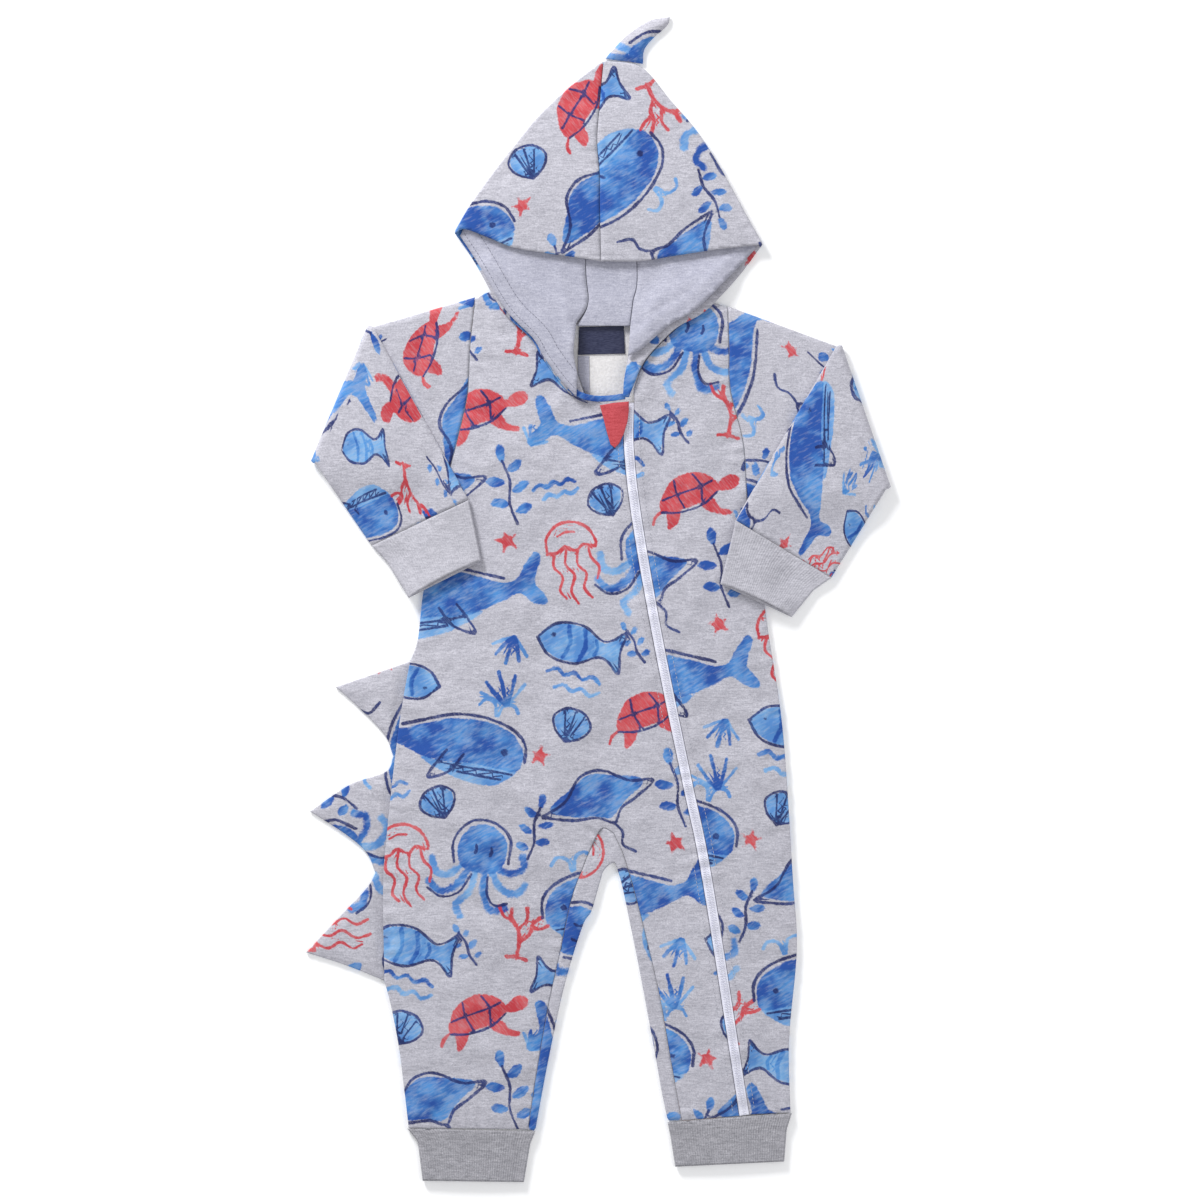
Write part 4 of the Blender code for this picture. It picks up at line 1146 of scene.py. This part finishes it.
def make_body():
    half = ZIP_WIDTH / 2
    edge_r, edge_l = beside(ZIP_LINE, -half), beside(ZIP_LINE, half)
    step = PRINT_GRID
    shell(
        "back_panel", body_outline(3.0, FIN_ROOT + GAP), lambda p: np.zeros(len(p)), CLOTH, 3.0,
        PRINT, INSIDE, lambda p: turned_uv(p * (-1, 1, 1), 0, (420, 130)), "inside",
        replaces=["back"], slot_name="inner_jersey",
    )
    right = joined(
        [SHOULDER_R, FRONT_NECK_R, [FRONT_NECK_R[-1], edge_r[0]], edge_r, [edge_r[-1], GUSSET_SEAM_L[-1]]]
        + [back_along(run) for run in (GUSSET_SEAM_L, GUSSET_ARCH, GUSSET_SEAM_R)]
        + [[GUSSET_SEAM_R[0], SIDE_R_LOWER[-1]]]
        + [back_along(run) for run in (SIDE_R_LOWER, SIDE_R_FIN, SIDE_R_UPPER, ARMHOLE_R)],
        step,
    )
    shell(
        "front_right_panel", right, front_height, CLOTH, step, PRINT, INSIDE,
        lambda p: turned_uv(p, 0, (700, 520)), replaces=["front_right"], slot_name="printed_jersey",
    )
    hem_l = [SIDE_L[-1], edge_l[-1]]
    left = joined([FRONT_NECK_L, SHOULDER_L, ARMHOLE_L, SIDE_L, hem_l, back_along(edge_l)], step)
    shell(
        "front_left_panel", left, front_height, CLOTH, step, PRINT, INSIDE,
        lambda p: turned_uv(p, 0, (797, 585)), replaces=["front_left"], slot_name="printed_jersey",
    )


def make_zip():
    half = ZIP_WIDTH / 2
    edge_r, edge_l = beside(ZIP_LINE, -half), beside(ZIP_LINE, half)
    tape_outline = joined([edge_r, [edge_r[-1], edge_l[-1]], back_along(edge_l)], 2.0)
    shell(
        "zip_tapes", tape_outline, lambda p: front_height(p) + 0.3, 1.0, 2.0, TAPE,
        replaces=["front_zip"], slot_name="zip_tape",
    )
    centre = smooth(ZIP_LINE, ZIP_TOOTH)
    side = normals(centre, False)
    ways = np.column_stack([side[:, 1], -side[:, 0]])
    base = front_height(centre) + 1.22
    points, faces = [], []
    for k in range(2, len(centre) - 2):
        hand = 1 if k % 2 else -1
        first = len(points)
        for reach, width, rise in ((-0.3, 0.22, 0.25), (0.6, 0.3, 0.6), (1.9, 0.3, 0.55), (2.5, 0.24, 0.2)):
            x, y = centre[k] + side[k] * hand * reach
            for way, lift in ((-1, 0.0), (-0.55, rise), (0.55, rise), (1, 0.0)):
                wx, wy = ways[k] * way * width
                points.append((x + wx, y + wy, base[k] + lift))
        for s in (0, 4, 8):
            for c in range(4):
                d = (c + 1) % 4
                faces.append((first + s + c, first + s + d, first + s + 4 + d, first + s + 4 + c))
        faces += [(first + 3, first + 2, first + 1, first), (first + 12, first + 13, first + 14, first + 15)]
    make_object("zip_coil", points, [(faces, NYLON)], slot_name="zip_tape")
    lines = [smooth(beside(ZIP_LINE, s * (ZIP_BAND - 1.0))[2:-1], 3) for s in (-1, 1)]
    trees = [laid["front_right_panel"], laid["front_left_panel"]]
    stitches("zip_topstitch", lines, 3.1, 2.3, 0.55, GREY_THREAD, trees, slot_name="printed_jersey")


def make_gusset():
    fold = INSEAM_R + CROTCH[1:] + INSEAM_L[1:]
    rest = [[INSEAM_L[-1], GUSSET_SEAM_L[-1]]]
    rest += [back_along(run) for run in (GUSSET_SEAM_L, GUSSET_ARCH, GUSSET_SEAM_R)]
    line = smooth(fold, 4)

    def over(points, triangles):
        relief = puckers(points, line, 9, 9, 0.6, 140) + 0.15 * (1 + ripple(points, 24, 150))
        return CLOTH + GAP + relief

    folded(
        "inner_leg_strip", fold, [rest, rest], [lambda p, t: np.zeros(len(p)), over], CLOTH, 2.4,
        (PRINT, INSIDE), lambda p: turned_uv(p, 90, (90, 340)),
        replaces=["inner_leg_gusset"], slot_name="printed_jersey",
    )


def make_fin():
    root = beside(SIDE_R_FIN, FIN_ROOT)
    outline = joined(FIN_RUNS + [[FIN_RUNS[-1][-1], root[-1]], back_along(root)], 2.2)
    edge = inset(outline, GAP / 2)

    def thickness(points):
        outside = np.where(within(BODY, points), 0, distance(BODY, points))
        rim = distance(edge, points)
        swell = 1.5 * np.sqrt(np.clip(rim / 9, 0, 1)) + 0.35 * (1 + ripple(points, 19, 61)) * ease(rim / 7)
        swell += puckers(points, edge, 8, 9, 0.5, 160, True)
        return CLOTH + (0.1 + swell) * ease((outside - 1) / FIN_SHOULDER)

    shell(
        "side_spike_fin", outline, lambda p: np.zeros(len(p)), thickness, 2.3, PRINT, None,
        lambda p: turned_uv(p, -74, (330, 655)), replaces=["side_spikes"], slot_name="printed_jersey",
    )


# Sleeves and cuffs


def make_sleeve(side, plan, turn, shift):
    """A sleeve bent back at the elbow, so that its forearm lies over the upper arm and the body."""
    across = 34
    armhole = smooth(plan["armhole"], 0.5)
    chosen = np.linspace(0, len(armhole) - 1, across).round().astype(int)
    fold = cross_line(*plan["fold"], across)
    out = normals(fold, False)[0]
    out = out * np.sign(np.dot(out, fold[0] - armhole[0]))
    start = armhole[chosen] + GAP * out
    level = 2 * CLOTH + GAP
    axis_height = level + GAP / 2
    zero, top = np.zeros(across), np.full(across, level)
    width = np.linspace(0, 1, across)
    stations, lengths = [], []
    reach = np.linalg.norm(fold - start, axis=1).mean()
    for share in np.linspace(0, 1, max(2, round(reach / 2.4)), endpoint=False):
        line = start + share * (fold - start)
        bump = (0.9 + 0.5 * ripple(line, 30, 210)) * np.sin(math.pi * width) ** 0.5
        bump = bump * ease(share / 0.2) * ease((1 - share) / 0.25)
        bump += puckers(line, armhole[::8], 12, 12, 0.8, 220)
        crease = np.array(plan["crease"], float)
        bump += 2.0 * np.exp(-((distance(crease, line, False) / 5.5) ** 2)) * np.sin(math.pi * width) ** 0.5
        stations.append(ring_pair(line, zero, top + bump * 0.55, CLOTH))
        lengths.append(share * reach)
    flat = ring_pair(fold, zero, top, CLOTH)
    for angle in np.linspace(0, 180, 9):
        stations.append(turned(flat, out, axis_height, math.radians(angle)))
        lengths.append(reach + angle / 180 * 2 * axis_height)
    corners = [(*start[0], level), (*start[-1], level), (*fold[-1], level), (*fold[0], level)]
    trees = [laid[n] for n in ("front_right_panel", "front_left_panel", "back_panel", "side_spike_fin")]
    trees.append(BVHTree.FromPolygons(corners, [(0, 1, 2, 3)]))
    seam = cross_line(*plan["seam"], across)
    arm = np.linalg.norm(seam - fold, axis=1).mean()
    shares = np.linspace(0, 1, round(arm / 2.4))[3:]
    lines = [fold + share * (seam - fold) for share in shares]
    under = rest_on(np.vstack(lines), trees, ARM_SPREAD)
    index = np.arange(len(under)).reshape(len(lines), across)
    quads = np.stack([index[:-1, :-1], index[1:, :-1], index[1:, 1:], index[:-1, 1:]], -1).reshape(-1, 4)
    links = np.vstack([quads[:, :3], quads[:, [0, 2, 3]]])
    under = evened(under, links, 14, top_under(np.vstack(lines), trees) + 0.15).reshape(len(lines), across)
    for share, line, base in zip(shares, lines, under):
        rise = FOREARM_LOFT * np.sin(math.pi * width) * math.sin(math.pi * share)
        relief = 0.5 * (1 + ripple(line, 33, 230)) * np.sin(math.pi * width) ** 0.6 * ease(share / 0.25)
        relief = relief * (0.35 + 0.65 * ease((1 - share) / 0.2)) + puckers(line, seam, 15, 8.5, 0.9, 240)
        stations.append(ring_pair(line, base + level + rise + 0.8 * relief, base, CLOTH))
        lengths.append(reach + 2 * axis_height + share * arm)
    count = len(stations[0][0])
    steps = np.linalg.norm(np.diff(stations[0][0][:, :2], axis=0), axis=1)
    round_it = np.concatenate([[0], np.cumsum(steps)])
    uv = np.vstack([np.c_[round_it, np.full(count, at)] for at in lengths for _ in (0, 1)])
    tube(
        f"sleeve_{side}_tube", stations, (PRINT, INSIDE), ink_values(turned_uv(uv, turn, shift)),
        replaces=[f"sleeve_{side}"], slot_name="printed_jersey",
    )


RIB_PITCH = 1.9


def rib_tube(name, rows, heights, node, knitted, rib_depth, lift=0.0, open_by=0.0, set_back=0.0):
    """A cuff of rib knit: rows run from its seam to its free edge, with their undersides' heights."""
    count = 5 * max(4, round(np.linalg.norm(np.subtract(*rows[1])) / RIB_PITCH)) + 1
    width = np.linspace(0, 1, count)
    wave = 0.5 - 0.5 * np.cos(2 * math.pi * np.arange(count) / 5)
    rows = [cross_line(a, b, count) for a, b in rows]
    steps = [np.linalg.norm((b - a).mean(axis=0)) for a, b in zip(rows, rows[1:])]
    places = np.concatenate([[0], np.cumsum(steps)])
    way = (rows[0] - rows[-1]).mean(axis=0)
    way = way / np.linalg.norm(way)
    shares = np.linspace(0, places[-1], max(3, round(places[-1] / 1.7)))
    table = np.array(rows)
    base = heights(rows)
    stations, groove_shade = [], []
    for s, at in enumerate(shares):
        line = np.column_stack(
            [[np.interp(at, places, table[:, k, c]) for k in range(count)] for c in (0, 1)]
        )
        under = np.array([np.interp(at, places, base[:, k]) for k in range(count)])
        end = at / places[-1]
        gather = (0.7 + 0.3 * ripple(line, 9, 300)) * 0.5 * (1 - ease(end * 3.0))
        mouth = open_by * ease((end - 0.55) / 0.45) * np.sin(math.pi * width)
        edge = np.where((s == 0) | (s == len(shares) - 1), 0.35, 1.0)
        ribs = edge * rib_depth * (wave - 1) * ease(width * 12) * ease((1 - width) * 12)
        height = under + 2 * RIB + GAP + lift + gather + mouth + ribs
        rings = ring_pair(line, height, under, RIB)
        back = way * set_back * ease((end - 0.7) / 0.3)
        for ring in rings:
            ring[:count, :2] += np.sin(math.pi * width)[:, None] ** 0.5 * back
        stations.append(rings)
        # A mask of the rib's grooves, kept for the shade painted into them.
        side = np.zeros(3)
        ring_groove = np.concatenate([1 - wave, side, (1 - wave)[::-1], side])
        groove_shade += [ring_groove, ring_groove]
    grooves = {"groove_shade": np.concatenate(groove_shade)}
    tube(name, stations, (knitted, knitted), grooves, replaces=[node], slot_name="rib")


def off_the_seam(rows, away):
    """A cuff's rows, its first one moved off the seam by the gap between pieces."""
    return [
        [np.array(end, float) + away * (GAP if k == 0 else 0) for end in row]
        for k, row in enumerate(rows)
    ]


def on_the_floor(lines):
    return np.zeros((len(lines), len(lines[0])))


def make_cuffs():
    trees = [laid[n] for n in ("front_right_panel", "front_left_panel", "back_panel", "side_spike_fin")]
    for side, plan in SLEEVES.items():
        rows = plan["cuff"]
        away = np.array(rows[-1][0], float) - rows[0][0]
        away = away / np.linalg.norm(away)
        rows = off_the_seam(rows, away)

        def heights(lines):
            coarse = [line[np.linspace(0, len(line) - 1, 12).round().astype(int)] for line in lines]
            at = np.linspace(0, 1, len(lines[0]))
            few = np.linspace(0, 1, 12)
            return np.array([np.interp(at, few, rest_on(line, trees, ARM_SPREAD)) for line in coarse])

        rib_tube(f"sleeve_{side}_cuff", rows, heights, f"sleeve_cuff_{side}", SLEEVE_RIB, 0.2, 0.15, 1.5, 2.4)
    for side, rows in ANKLE_CUFFS.items():
        rows = off_the_seam(rows, np.array((0.0, -1.0)))
        rib_tube(f"ankle_{side}_cuff", rows, on_the_floor, f"ankle_cuff_{side}", ANKLE_RIB, 0.4, 0.1, 0.7)


# Hood


# Puckers along the crown's seams: line, reach, pitch, height
CROWN_PUCKERS = [
    (SLOPE_R, 12, 13, 0.5), (SLOPE_L, 12, 13, 0.5), (FLAP_SEAM, 13, 12, 0.7),
    (FLAP_R, 10, 12, 0.5), (FLAP_L, 10, 12, 0.5),
]


def crown_rise(points):
    crown = joined([SLOPE_R, SLOPE_L, back_along(FLAP_L), back_along(FLAP_R)], 8)
    away = distance(crown, points)
    rise = FLAP_LOFT * (1 - np.exp(-((away / FLAP_REACH) ** 2)))
    rise += (
        0.45 * (1 + ripple(points, 40, 71)) * ease(away / 16)
        + 0.15 * (1 + ripple(points, 16, 72)) * ease(away / 8)
    )
    for k, (line, reach, pitch, height) in enumerate(CROWN_PUCKERS):
        rise += puckers(points, smooth(line, 6), reach, pitch, height, 180 + 3 * k)
    seam = distance(smooth(FLAP_SEAM, 5), points, False)
    return rise - 0.7 * np.exp(-((seam / 2.4) ** 2)) * ease(away / 6)


def make_hood():
    body = [laid[n] for n in ("front_right_panel", "front_left_panel", "back_panel", "zip_tapes")]
    crown_level = CLOTH + 2 * LINING + 3 * GAP
    seam, nape = HOOD_BACK_SEAM, HOOD_BACK_SEAM[-1]
    lower = {
        "right": [seam, [nape, COLLAR_R[-1]], back_along(COLLAR_R), back_along(RIM_R)],
        "left": [RIM_L, [RIM_L[-1], COLLAR_L[0]], COLLAR_L, [COLLAR_L[-1], nape], back_along(seam)],
    }
    upper = {
        "right": [FLAP_SEAM, back_along(FLAP_R)],
        "left": [back_along(FLAP_L), back_along(FLAP_SEAM)],
    }

    def under(points, triangles):
        return evened(rest_on(points, body, 11), triangles, 12, top_under(points, body) + 0.15)

    for side, fold, turn, shift in (("right", SLOPE_R, -38, (512, 120)), ("left", SLOPE_L, 142, (260, 770))):
        folded(
            f"hood_{side}_half", fold, [lower[side], upper[side]],
            [under, lambda p, t: crown_level + crown_rise(p)],
            CLOTH, 2.3, (PRINT, PRINT), lambda p: turned_uv(p, turn, shift),
            replaces=[f"hood_{side}"], slot_name="printed_jersey",
        )


def inward(points, amount):
    """A hood edge moved in for the lining, without its two end points."""
    line = smooth(points, EDGE_STEP)
    return [tuple(p) for p in (line - normals(line, False) * amount)[1:-1]]


HEM = 13.5
HEM_RISE = 0.9
HEM_EDGE = 4.0


def make_lining():
    body = [laid[n] for n in ("front_right_panel", "front_left_panel", "back_panel", "zip_tapes")]
    rims = {"right": smooth(LINING_RIM_R, 5), "left": smooth(LINING_RIM_L, 5)}
    creases = {
        "right": [
            ([(-86, 262), (-40, 236), (-22, 222)], 5, 1.2),
            ([(-30, 262), (-24, 234), (-20, 200)], 4.5, 0.9),
        ],
        "left": [
            ([(98, 262), (62, 244), (38, 226)], 6, 1.1),
            ([(60, 258), (44, 232), (40, 206)], 4.5, 0.9),
        ],
    }

    def under_for(side):
        def under(points, triangles):
            base = CLOTH + GAP + rest_on(points, body, LINING_SPREAD)
            base = evened(base, triangles, 14, CLOTH + GAP + top_under(points, body) + 0.2)
            if side == "centre":
                return base
            away = distance(rims[side], points, False)
            relief = HEM_RISE * ease((HEM - away) / 1.2 + 0.5) + puckers(points, rims[side], 9, 14, 0.35, 260)
            relief -= (
                0.4 * np.exp(-(((away - HEM_EDGE) / 1.0) ** 2))
                + 0.5 * np.exp(-(((away - HEM) / 0.9) ** 2))
            )
            relief = np.maximum(relief, 0)
            relief += 0.2 * (1 + ripple(points, 34, 262))
            for line, width, height in creases[side]:
                relief += height * np.exp(-((distance(smooth(line, 5), points, False) / width) ** 2))
            return base + relief * ease(distance(joined([STRIP_R, STRIP_L[::-1]], 8), points) / 5)
        return under

    def over(points, triangles):
        return np.full(len(points), CLOTH + LINING + 2 * GAP)

    turn = CLOTH + LINING
    fold_r, fold_l = inward(SLOPE_R, turn)[2:], inward(SLOPE_L, turn)[:-2]
    rim_r, rim_l = back_along(LINING_RIM_R), LINING_RIM_L
    flap_r = inward(back_along(FLAP_R), LINING_SHORT)[:-2]
    flap_l = inward(back_along(FLAP_L), LINING_SHORT)[2:]
    collar_r = back_along(COLLAR_R)[:-1]
    lower_r = [[fold_r[-1], STRIP_R[0]], STRIP_R, collar_r]
    lower_r += [[collar_r[-1], rim_r[0]], rim_r, [rim_r[-1], fold_r[0]]]
    upper_r = [[fold_r[-1], LINING_MIDDLE_R[0]], LINING_MIDDLE_R, flap_r, [flap_r[-1], fold_r[0]]]
    folded(
        "hood_right_lining", fold_r, [lower_r, upper_r], [under_for("right"), over], LINING, PLAIN_GRID,
        (LINING_CLOTH, LINING_CLOTH), None, hem_lines(LINING_RIM_R),
        replaces=["hood_lining_right"], slot_name="lining",
    )
    collar_l = COLLAR_L[2:]
    lower_l = [[fold_l[-1], rim_l[0]], rim_l, [rim_l[-1], collar_l[0]], collar_l]
    lower_l += [back_along(STRIP_L), [STRIP_L[0], fold_l[0]]]
    middle_l = back_along(LINING_MIDDLE_L)
    upper_l = [[fold_l[-1], flap_l[0]], flap_l, middle_l, [middle_l[-1], fold_l[0]]]
    folded(
        "hood_left_lining", fold_l, [lower_l, upper_l], [under_for("left"), over], LINING, PLAIN_GRID,
        (LINING_CLOTH, LINING_CLOTH), None, hem_lines(LINING_RIM_L),
        replaces=["hood_lining_left"], slot_name="lining",
    )
    right_edge, left_edge = STRIP_R[:-1] + [STRIP_FOOT[0]], STRIP_L[:-1] + [STRIP_FOOT[1]]
    strip = [right_edge, STRIP_FOOT, back_along(left_edge), [left_edge[0], right_edge[0]]]

    def strip_under(points):
        pleat = np.exp(-((distance(np.array(STRIP_PLEAT, float), points, False) / 1.3) ** 2))
        return CLOTH + GAP + rest_on(points, body, LINING_SPREAD) - 0.6 * pleat

    shell(
        "hood_centre_lining", joined(strip, 3.0), strip_under, LINING, PLAIN_GRID, LINING_CLOTH, smoothing=10,
        replaces=["hood_lining_centre"], slot_name="lining",
    )
    trees = [laid[n] for n in ("hood_right_lining", "hood_left_lining")]
    # Real hem stitching, in a thread darkened as painted shade for the hem's shadow line.
    rows = [line_inside(LINING_RIM_R, offset, 3.0) for offset in (HEM - 0.2, HEM_EDGE)]
    stitches("hood_hem_stitches", rows, 3.0, 2.6, 0.6, HEM_THREAD_WITH_SHADE, trees, slot_name="lining")


def line_inside(rim, offset, step):
    """The hood's rim line moved towards the lining's middle."""
    line = smooth(rim, step)
    side = normals(line, False)
    hand = np.sign(((np.array(LINING_CENTRE) - line) * side).sum(axis=1).mean())
    return line + side * hand * offset


def hem_lines(rim):
    return [line_inside(rim, offset, 2.0) for offset in (HEM_EDGE, HEM - 0.7, HEM + 0.7)]


def make_horn():
    outline = joined([HORN_OUTER, HORN_INNER, [HORN_INNER[-1], HORN_OUTER[0]]], 1.6)
    edge = inset(outline, GAP / 2)

    def thickness(points):
        share = np.clip(distance(edge, points) / HORN_REACH, 0, 1)
        return HORN_EDGE + HORN_LOFT * np.sqrt(1 - (1 - share) ** 2)

    shell(
        "crown_horn", outline, lambda p: np.zeros(len(p)), thickness, 1.8, PRINT, None,
        lambda p: turned_uv(p, 60, (35, -160)), replaces=["hood_horn"], slot_name="printed_jersey",
    )


def make_guard_and_label():
    trees = [laid[n] for n in ("front_right_panel", "front_left_panel", "zip_tapes", "zip_coil")]
    trees += [laid[f"hood_{side}_half"] for side in ("right", "left")]
    trees += [laid[f"hood_{side}_lining"] for side in ("right", "left")]
    guard = joined(list(zip(GUARD, GUARD[1:] + GUARD[:1])), 1.6)
    shell(
        "zip_guard_tongue", guard, lambda p: rest_on(p, trees, GUARD_SPREAD), GUARD_THICKNESS, 2.0,
        GUARD_CLOTH, smoothing=6, replaces=["zip_guard"], slot_name="guard_jersey",
    )
    label = joined(list(zip(LABEL, LABEL[1:] + LABEL[:1])), 2.0)
    shell(
        "neck_label_tab", label, lambda p: CLOTH + GAP + 0.12 * (1 + ripple(p, 14, 400)),
        LABEL_THICKNESS, 2.0, SATIN, replaces=["neck_label"], slot_name="label_satin",
    )


def make_neck_facing():
    """The strip of plain cloth on the back's inside, beside the hood's right end."""
    outline = joined(list(zip(FACING, FACING[1:] + FACING[:1])), 2.0)
    shell(
        "neck_facing", outline, lambda p: np.full(len(p), CLOTH + 0.15), 0.7, 2.0, LINING_CLOTH,
        slot_name="lining",
    )


def make_neck_binding():
    """The printed edge that closes the neck between the hood's end and the top of the zip."""
    line = smooth(NECK_BINDING, 1.6)
    side = normals(line, False)
    outline = np.vstack([line + side * BINDING_HALF, (line - side * BINDING_HALF)[::-1]])
    below = ("front_right_panel", "front_left_panel", "hood_right_half", "back_panel", "zip_tapes")
    trees = [laid[n] for n in below]
    shell(
        "neck_binding", outline, lambda p: rest_on(p, trees, 2.0), 1.3, 1.5, PRINT, None,
        lambda p: turned_uv(p, 0, (61, -104)), smoothing=5, slot_name="printed_jersey",
    )


def dressing_stage():
    """A pale floor with a faint glow of painted light that lightens the shadows on it, soft light from all
    round and the camera straight above.
    """
    floor_net = Net("pale_floor")
    shade = floor_net.noise(900, 1.0, 0.5)
    colour = floor_net.mix(floor_net.span(shade, 0.3, 0.7), (0.965, 0.965, 0.97), (0.98, 0.98, 0.985))
    floor_mesh = bpy.data.meshes.new("floor")
    half = 6.0
    corners = [(-half, -half, 0), (half, -half, 0), (half, half, 0), (-half, half, 0)]
    floor_mesh.from_pydata(corners, [], [(0, 1, 2, 3)])
    # Painted light: the floor glows a little, which lifts it to white and lightens the shadows cast on it.
    floor_net.shader.inputs["Emission Color"].default_value = (1, 1, 1, 1)
    floor_net.shader.inputs["Emission Strength"].default_value = FLOOR_PAINTED_GLOW
    floor_mesh.materials.append(floor_net.finish(colour, 0.9))
    floor = bpy.data.objects.new("floor", floor_mesh)
    floor.location.z = -0.0004
    bpy.context.scene.collection.objects.link(floor)
    world = bpy.data.worlds.new("soft_surround")
    world.use_nodes = True
    world.node_tree.nodes["Background"].inputs[0].default_value = (0.97, 0.98, 1.0, 1)
    world.node_tree.nodes["Background"].inputs[1].default_value = 0.55
    bpy.context.scene.world = world
    for name, place, size, power in (
        ("key", (-1.35, 2.15, 1.3), 0.75, 76.0),
        ("fill", (1.7, -0.7, 2.2), 1.8, 16.0),
    ):
        light = bpy.data.lights.new(name, "AREA")
        light.size = size
        light.energy = power
        lamp = bpy.data.objects.new(name, light)
        lamp.location = place
        lamp.rotation_euler = (-Vector(place)).to_track_quat("-Z", "Y").to_euler()
        bpy.context.scene.collection.objects.link(lamp)
    camera = bpy.data.cameras.new("camera")
    camera.type = "ORTHO"
    camera.ortho_scale = VIEW_SIDE
    camera.clip_end = 20
    eye = bpy.data.objects.new("camera", camera)
    eye.location = (VIEW_MIDDLE[0] + PLACE[0] * MM, VIEW_MIDDLE[1] + PLACE[1] * MM, 2.0)
    bpy.context.scene.collection.objects.link(eye)
    bpy.context.scene.camera = eye
    bpy.context.scene.view_settings.view_transform = "Standard"


make_body()
make_gusset()
make_fin()
make_zip()
make_sleeve("right", SLEEVES["right"], 24, (140, 60))
make_sleeve("left", SLEEVES["left"], -22, (610, 150))
make_cuffs()
make_hood()
make_lining()
make_horn()
make_neck_facing()
make_neck_binding()
make_guard_and_label()
dressing_stage()

# Each cut of cloth: width and length in metres, its area, how it lies, on what, and what is sewn on it
SHEETS = {
    "back_panel": (0.322, 0.653, 0.158, "laid", [], []),
    "front_right_panel": (0.278, 0.653, 0.107, "laid", ["back_panel"], ["zip_topstitch"]),
    "front_left_panel": (0.128, 0.633, 0.043, "laid", ["back_panel"], []),
    "inner_leg_strip": (0.045, 0.500, 0.0104, "folded", [], []),
    "side_spike_fin": (0.086, 0.250, 0.0086, "laid", [], []),
    "zip_tapes": (0.010, 0.570, 0.0047, "laid", ["back_panel"], ["zip_coil"]),
    "sleeve_right_tube": (0.272, 0.182, 0.042, "folded", ["front_right_panel"], []),
    "sleeve_left_tube": (0.300, 0.190, 0.045, "folded", ["front_left_panel"], []),
    "sleeve_right_cuff": (0.165, 0.044, 0.0066, "laid", ["front_right_panel"], []),
    "sleeve_left_cuff": (0.160, 0.044, 0.0063, "laid", ["front_left_panel"], []),
    "ankle_right_cuff": (0.186, 0.041, 0.0068, "laid", [], []),
    "ankle_left_cuff": (0.186, 0.037, 0.0064, "laid", [], []),
    "hood_right_half": (0.175, 0.300, 0.028, "folded", ["back_panel"], []),
    "hood_left_half": (0.190, 0.300, 0.033, "folded", ["back_panel"], []),
    "hood_right_lining": (0.170, 0.270, 0.0228, "folded", ["hood_right_half"], ["hood_hem_stitches"]),
    "hood_left_lining": (0.180, 0.260, 0.0251, "folded", ["hood_left_half"], []),
    "hood_centre_lining": (0.047, 0.166, 0.0059, "laid", ["hood_right_half", "hood_left_half"], []),
    "neck_facing": (0.0105, 0.034, 0.00024, "laid", ["back_panel"], []),
    "neck_binding": (0.011, 0.046, 0.00024, "folded", ["front_right_panel"], []),
    "zip_guard_tongue": (0.023, 0.0365, 0.00055, "laid", ["zip_tapes"], []),
    "neck_label_tab": (0.037, 0.022, 0.00079, "laid", ["back_panel"], []),
}
pieces = bpy.data.objects
for name, (wide, long, cut, held, lies_on, sewn_on) in SHEETS.items():
    sewn_on = [pieces[n] for n in sewn_on]
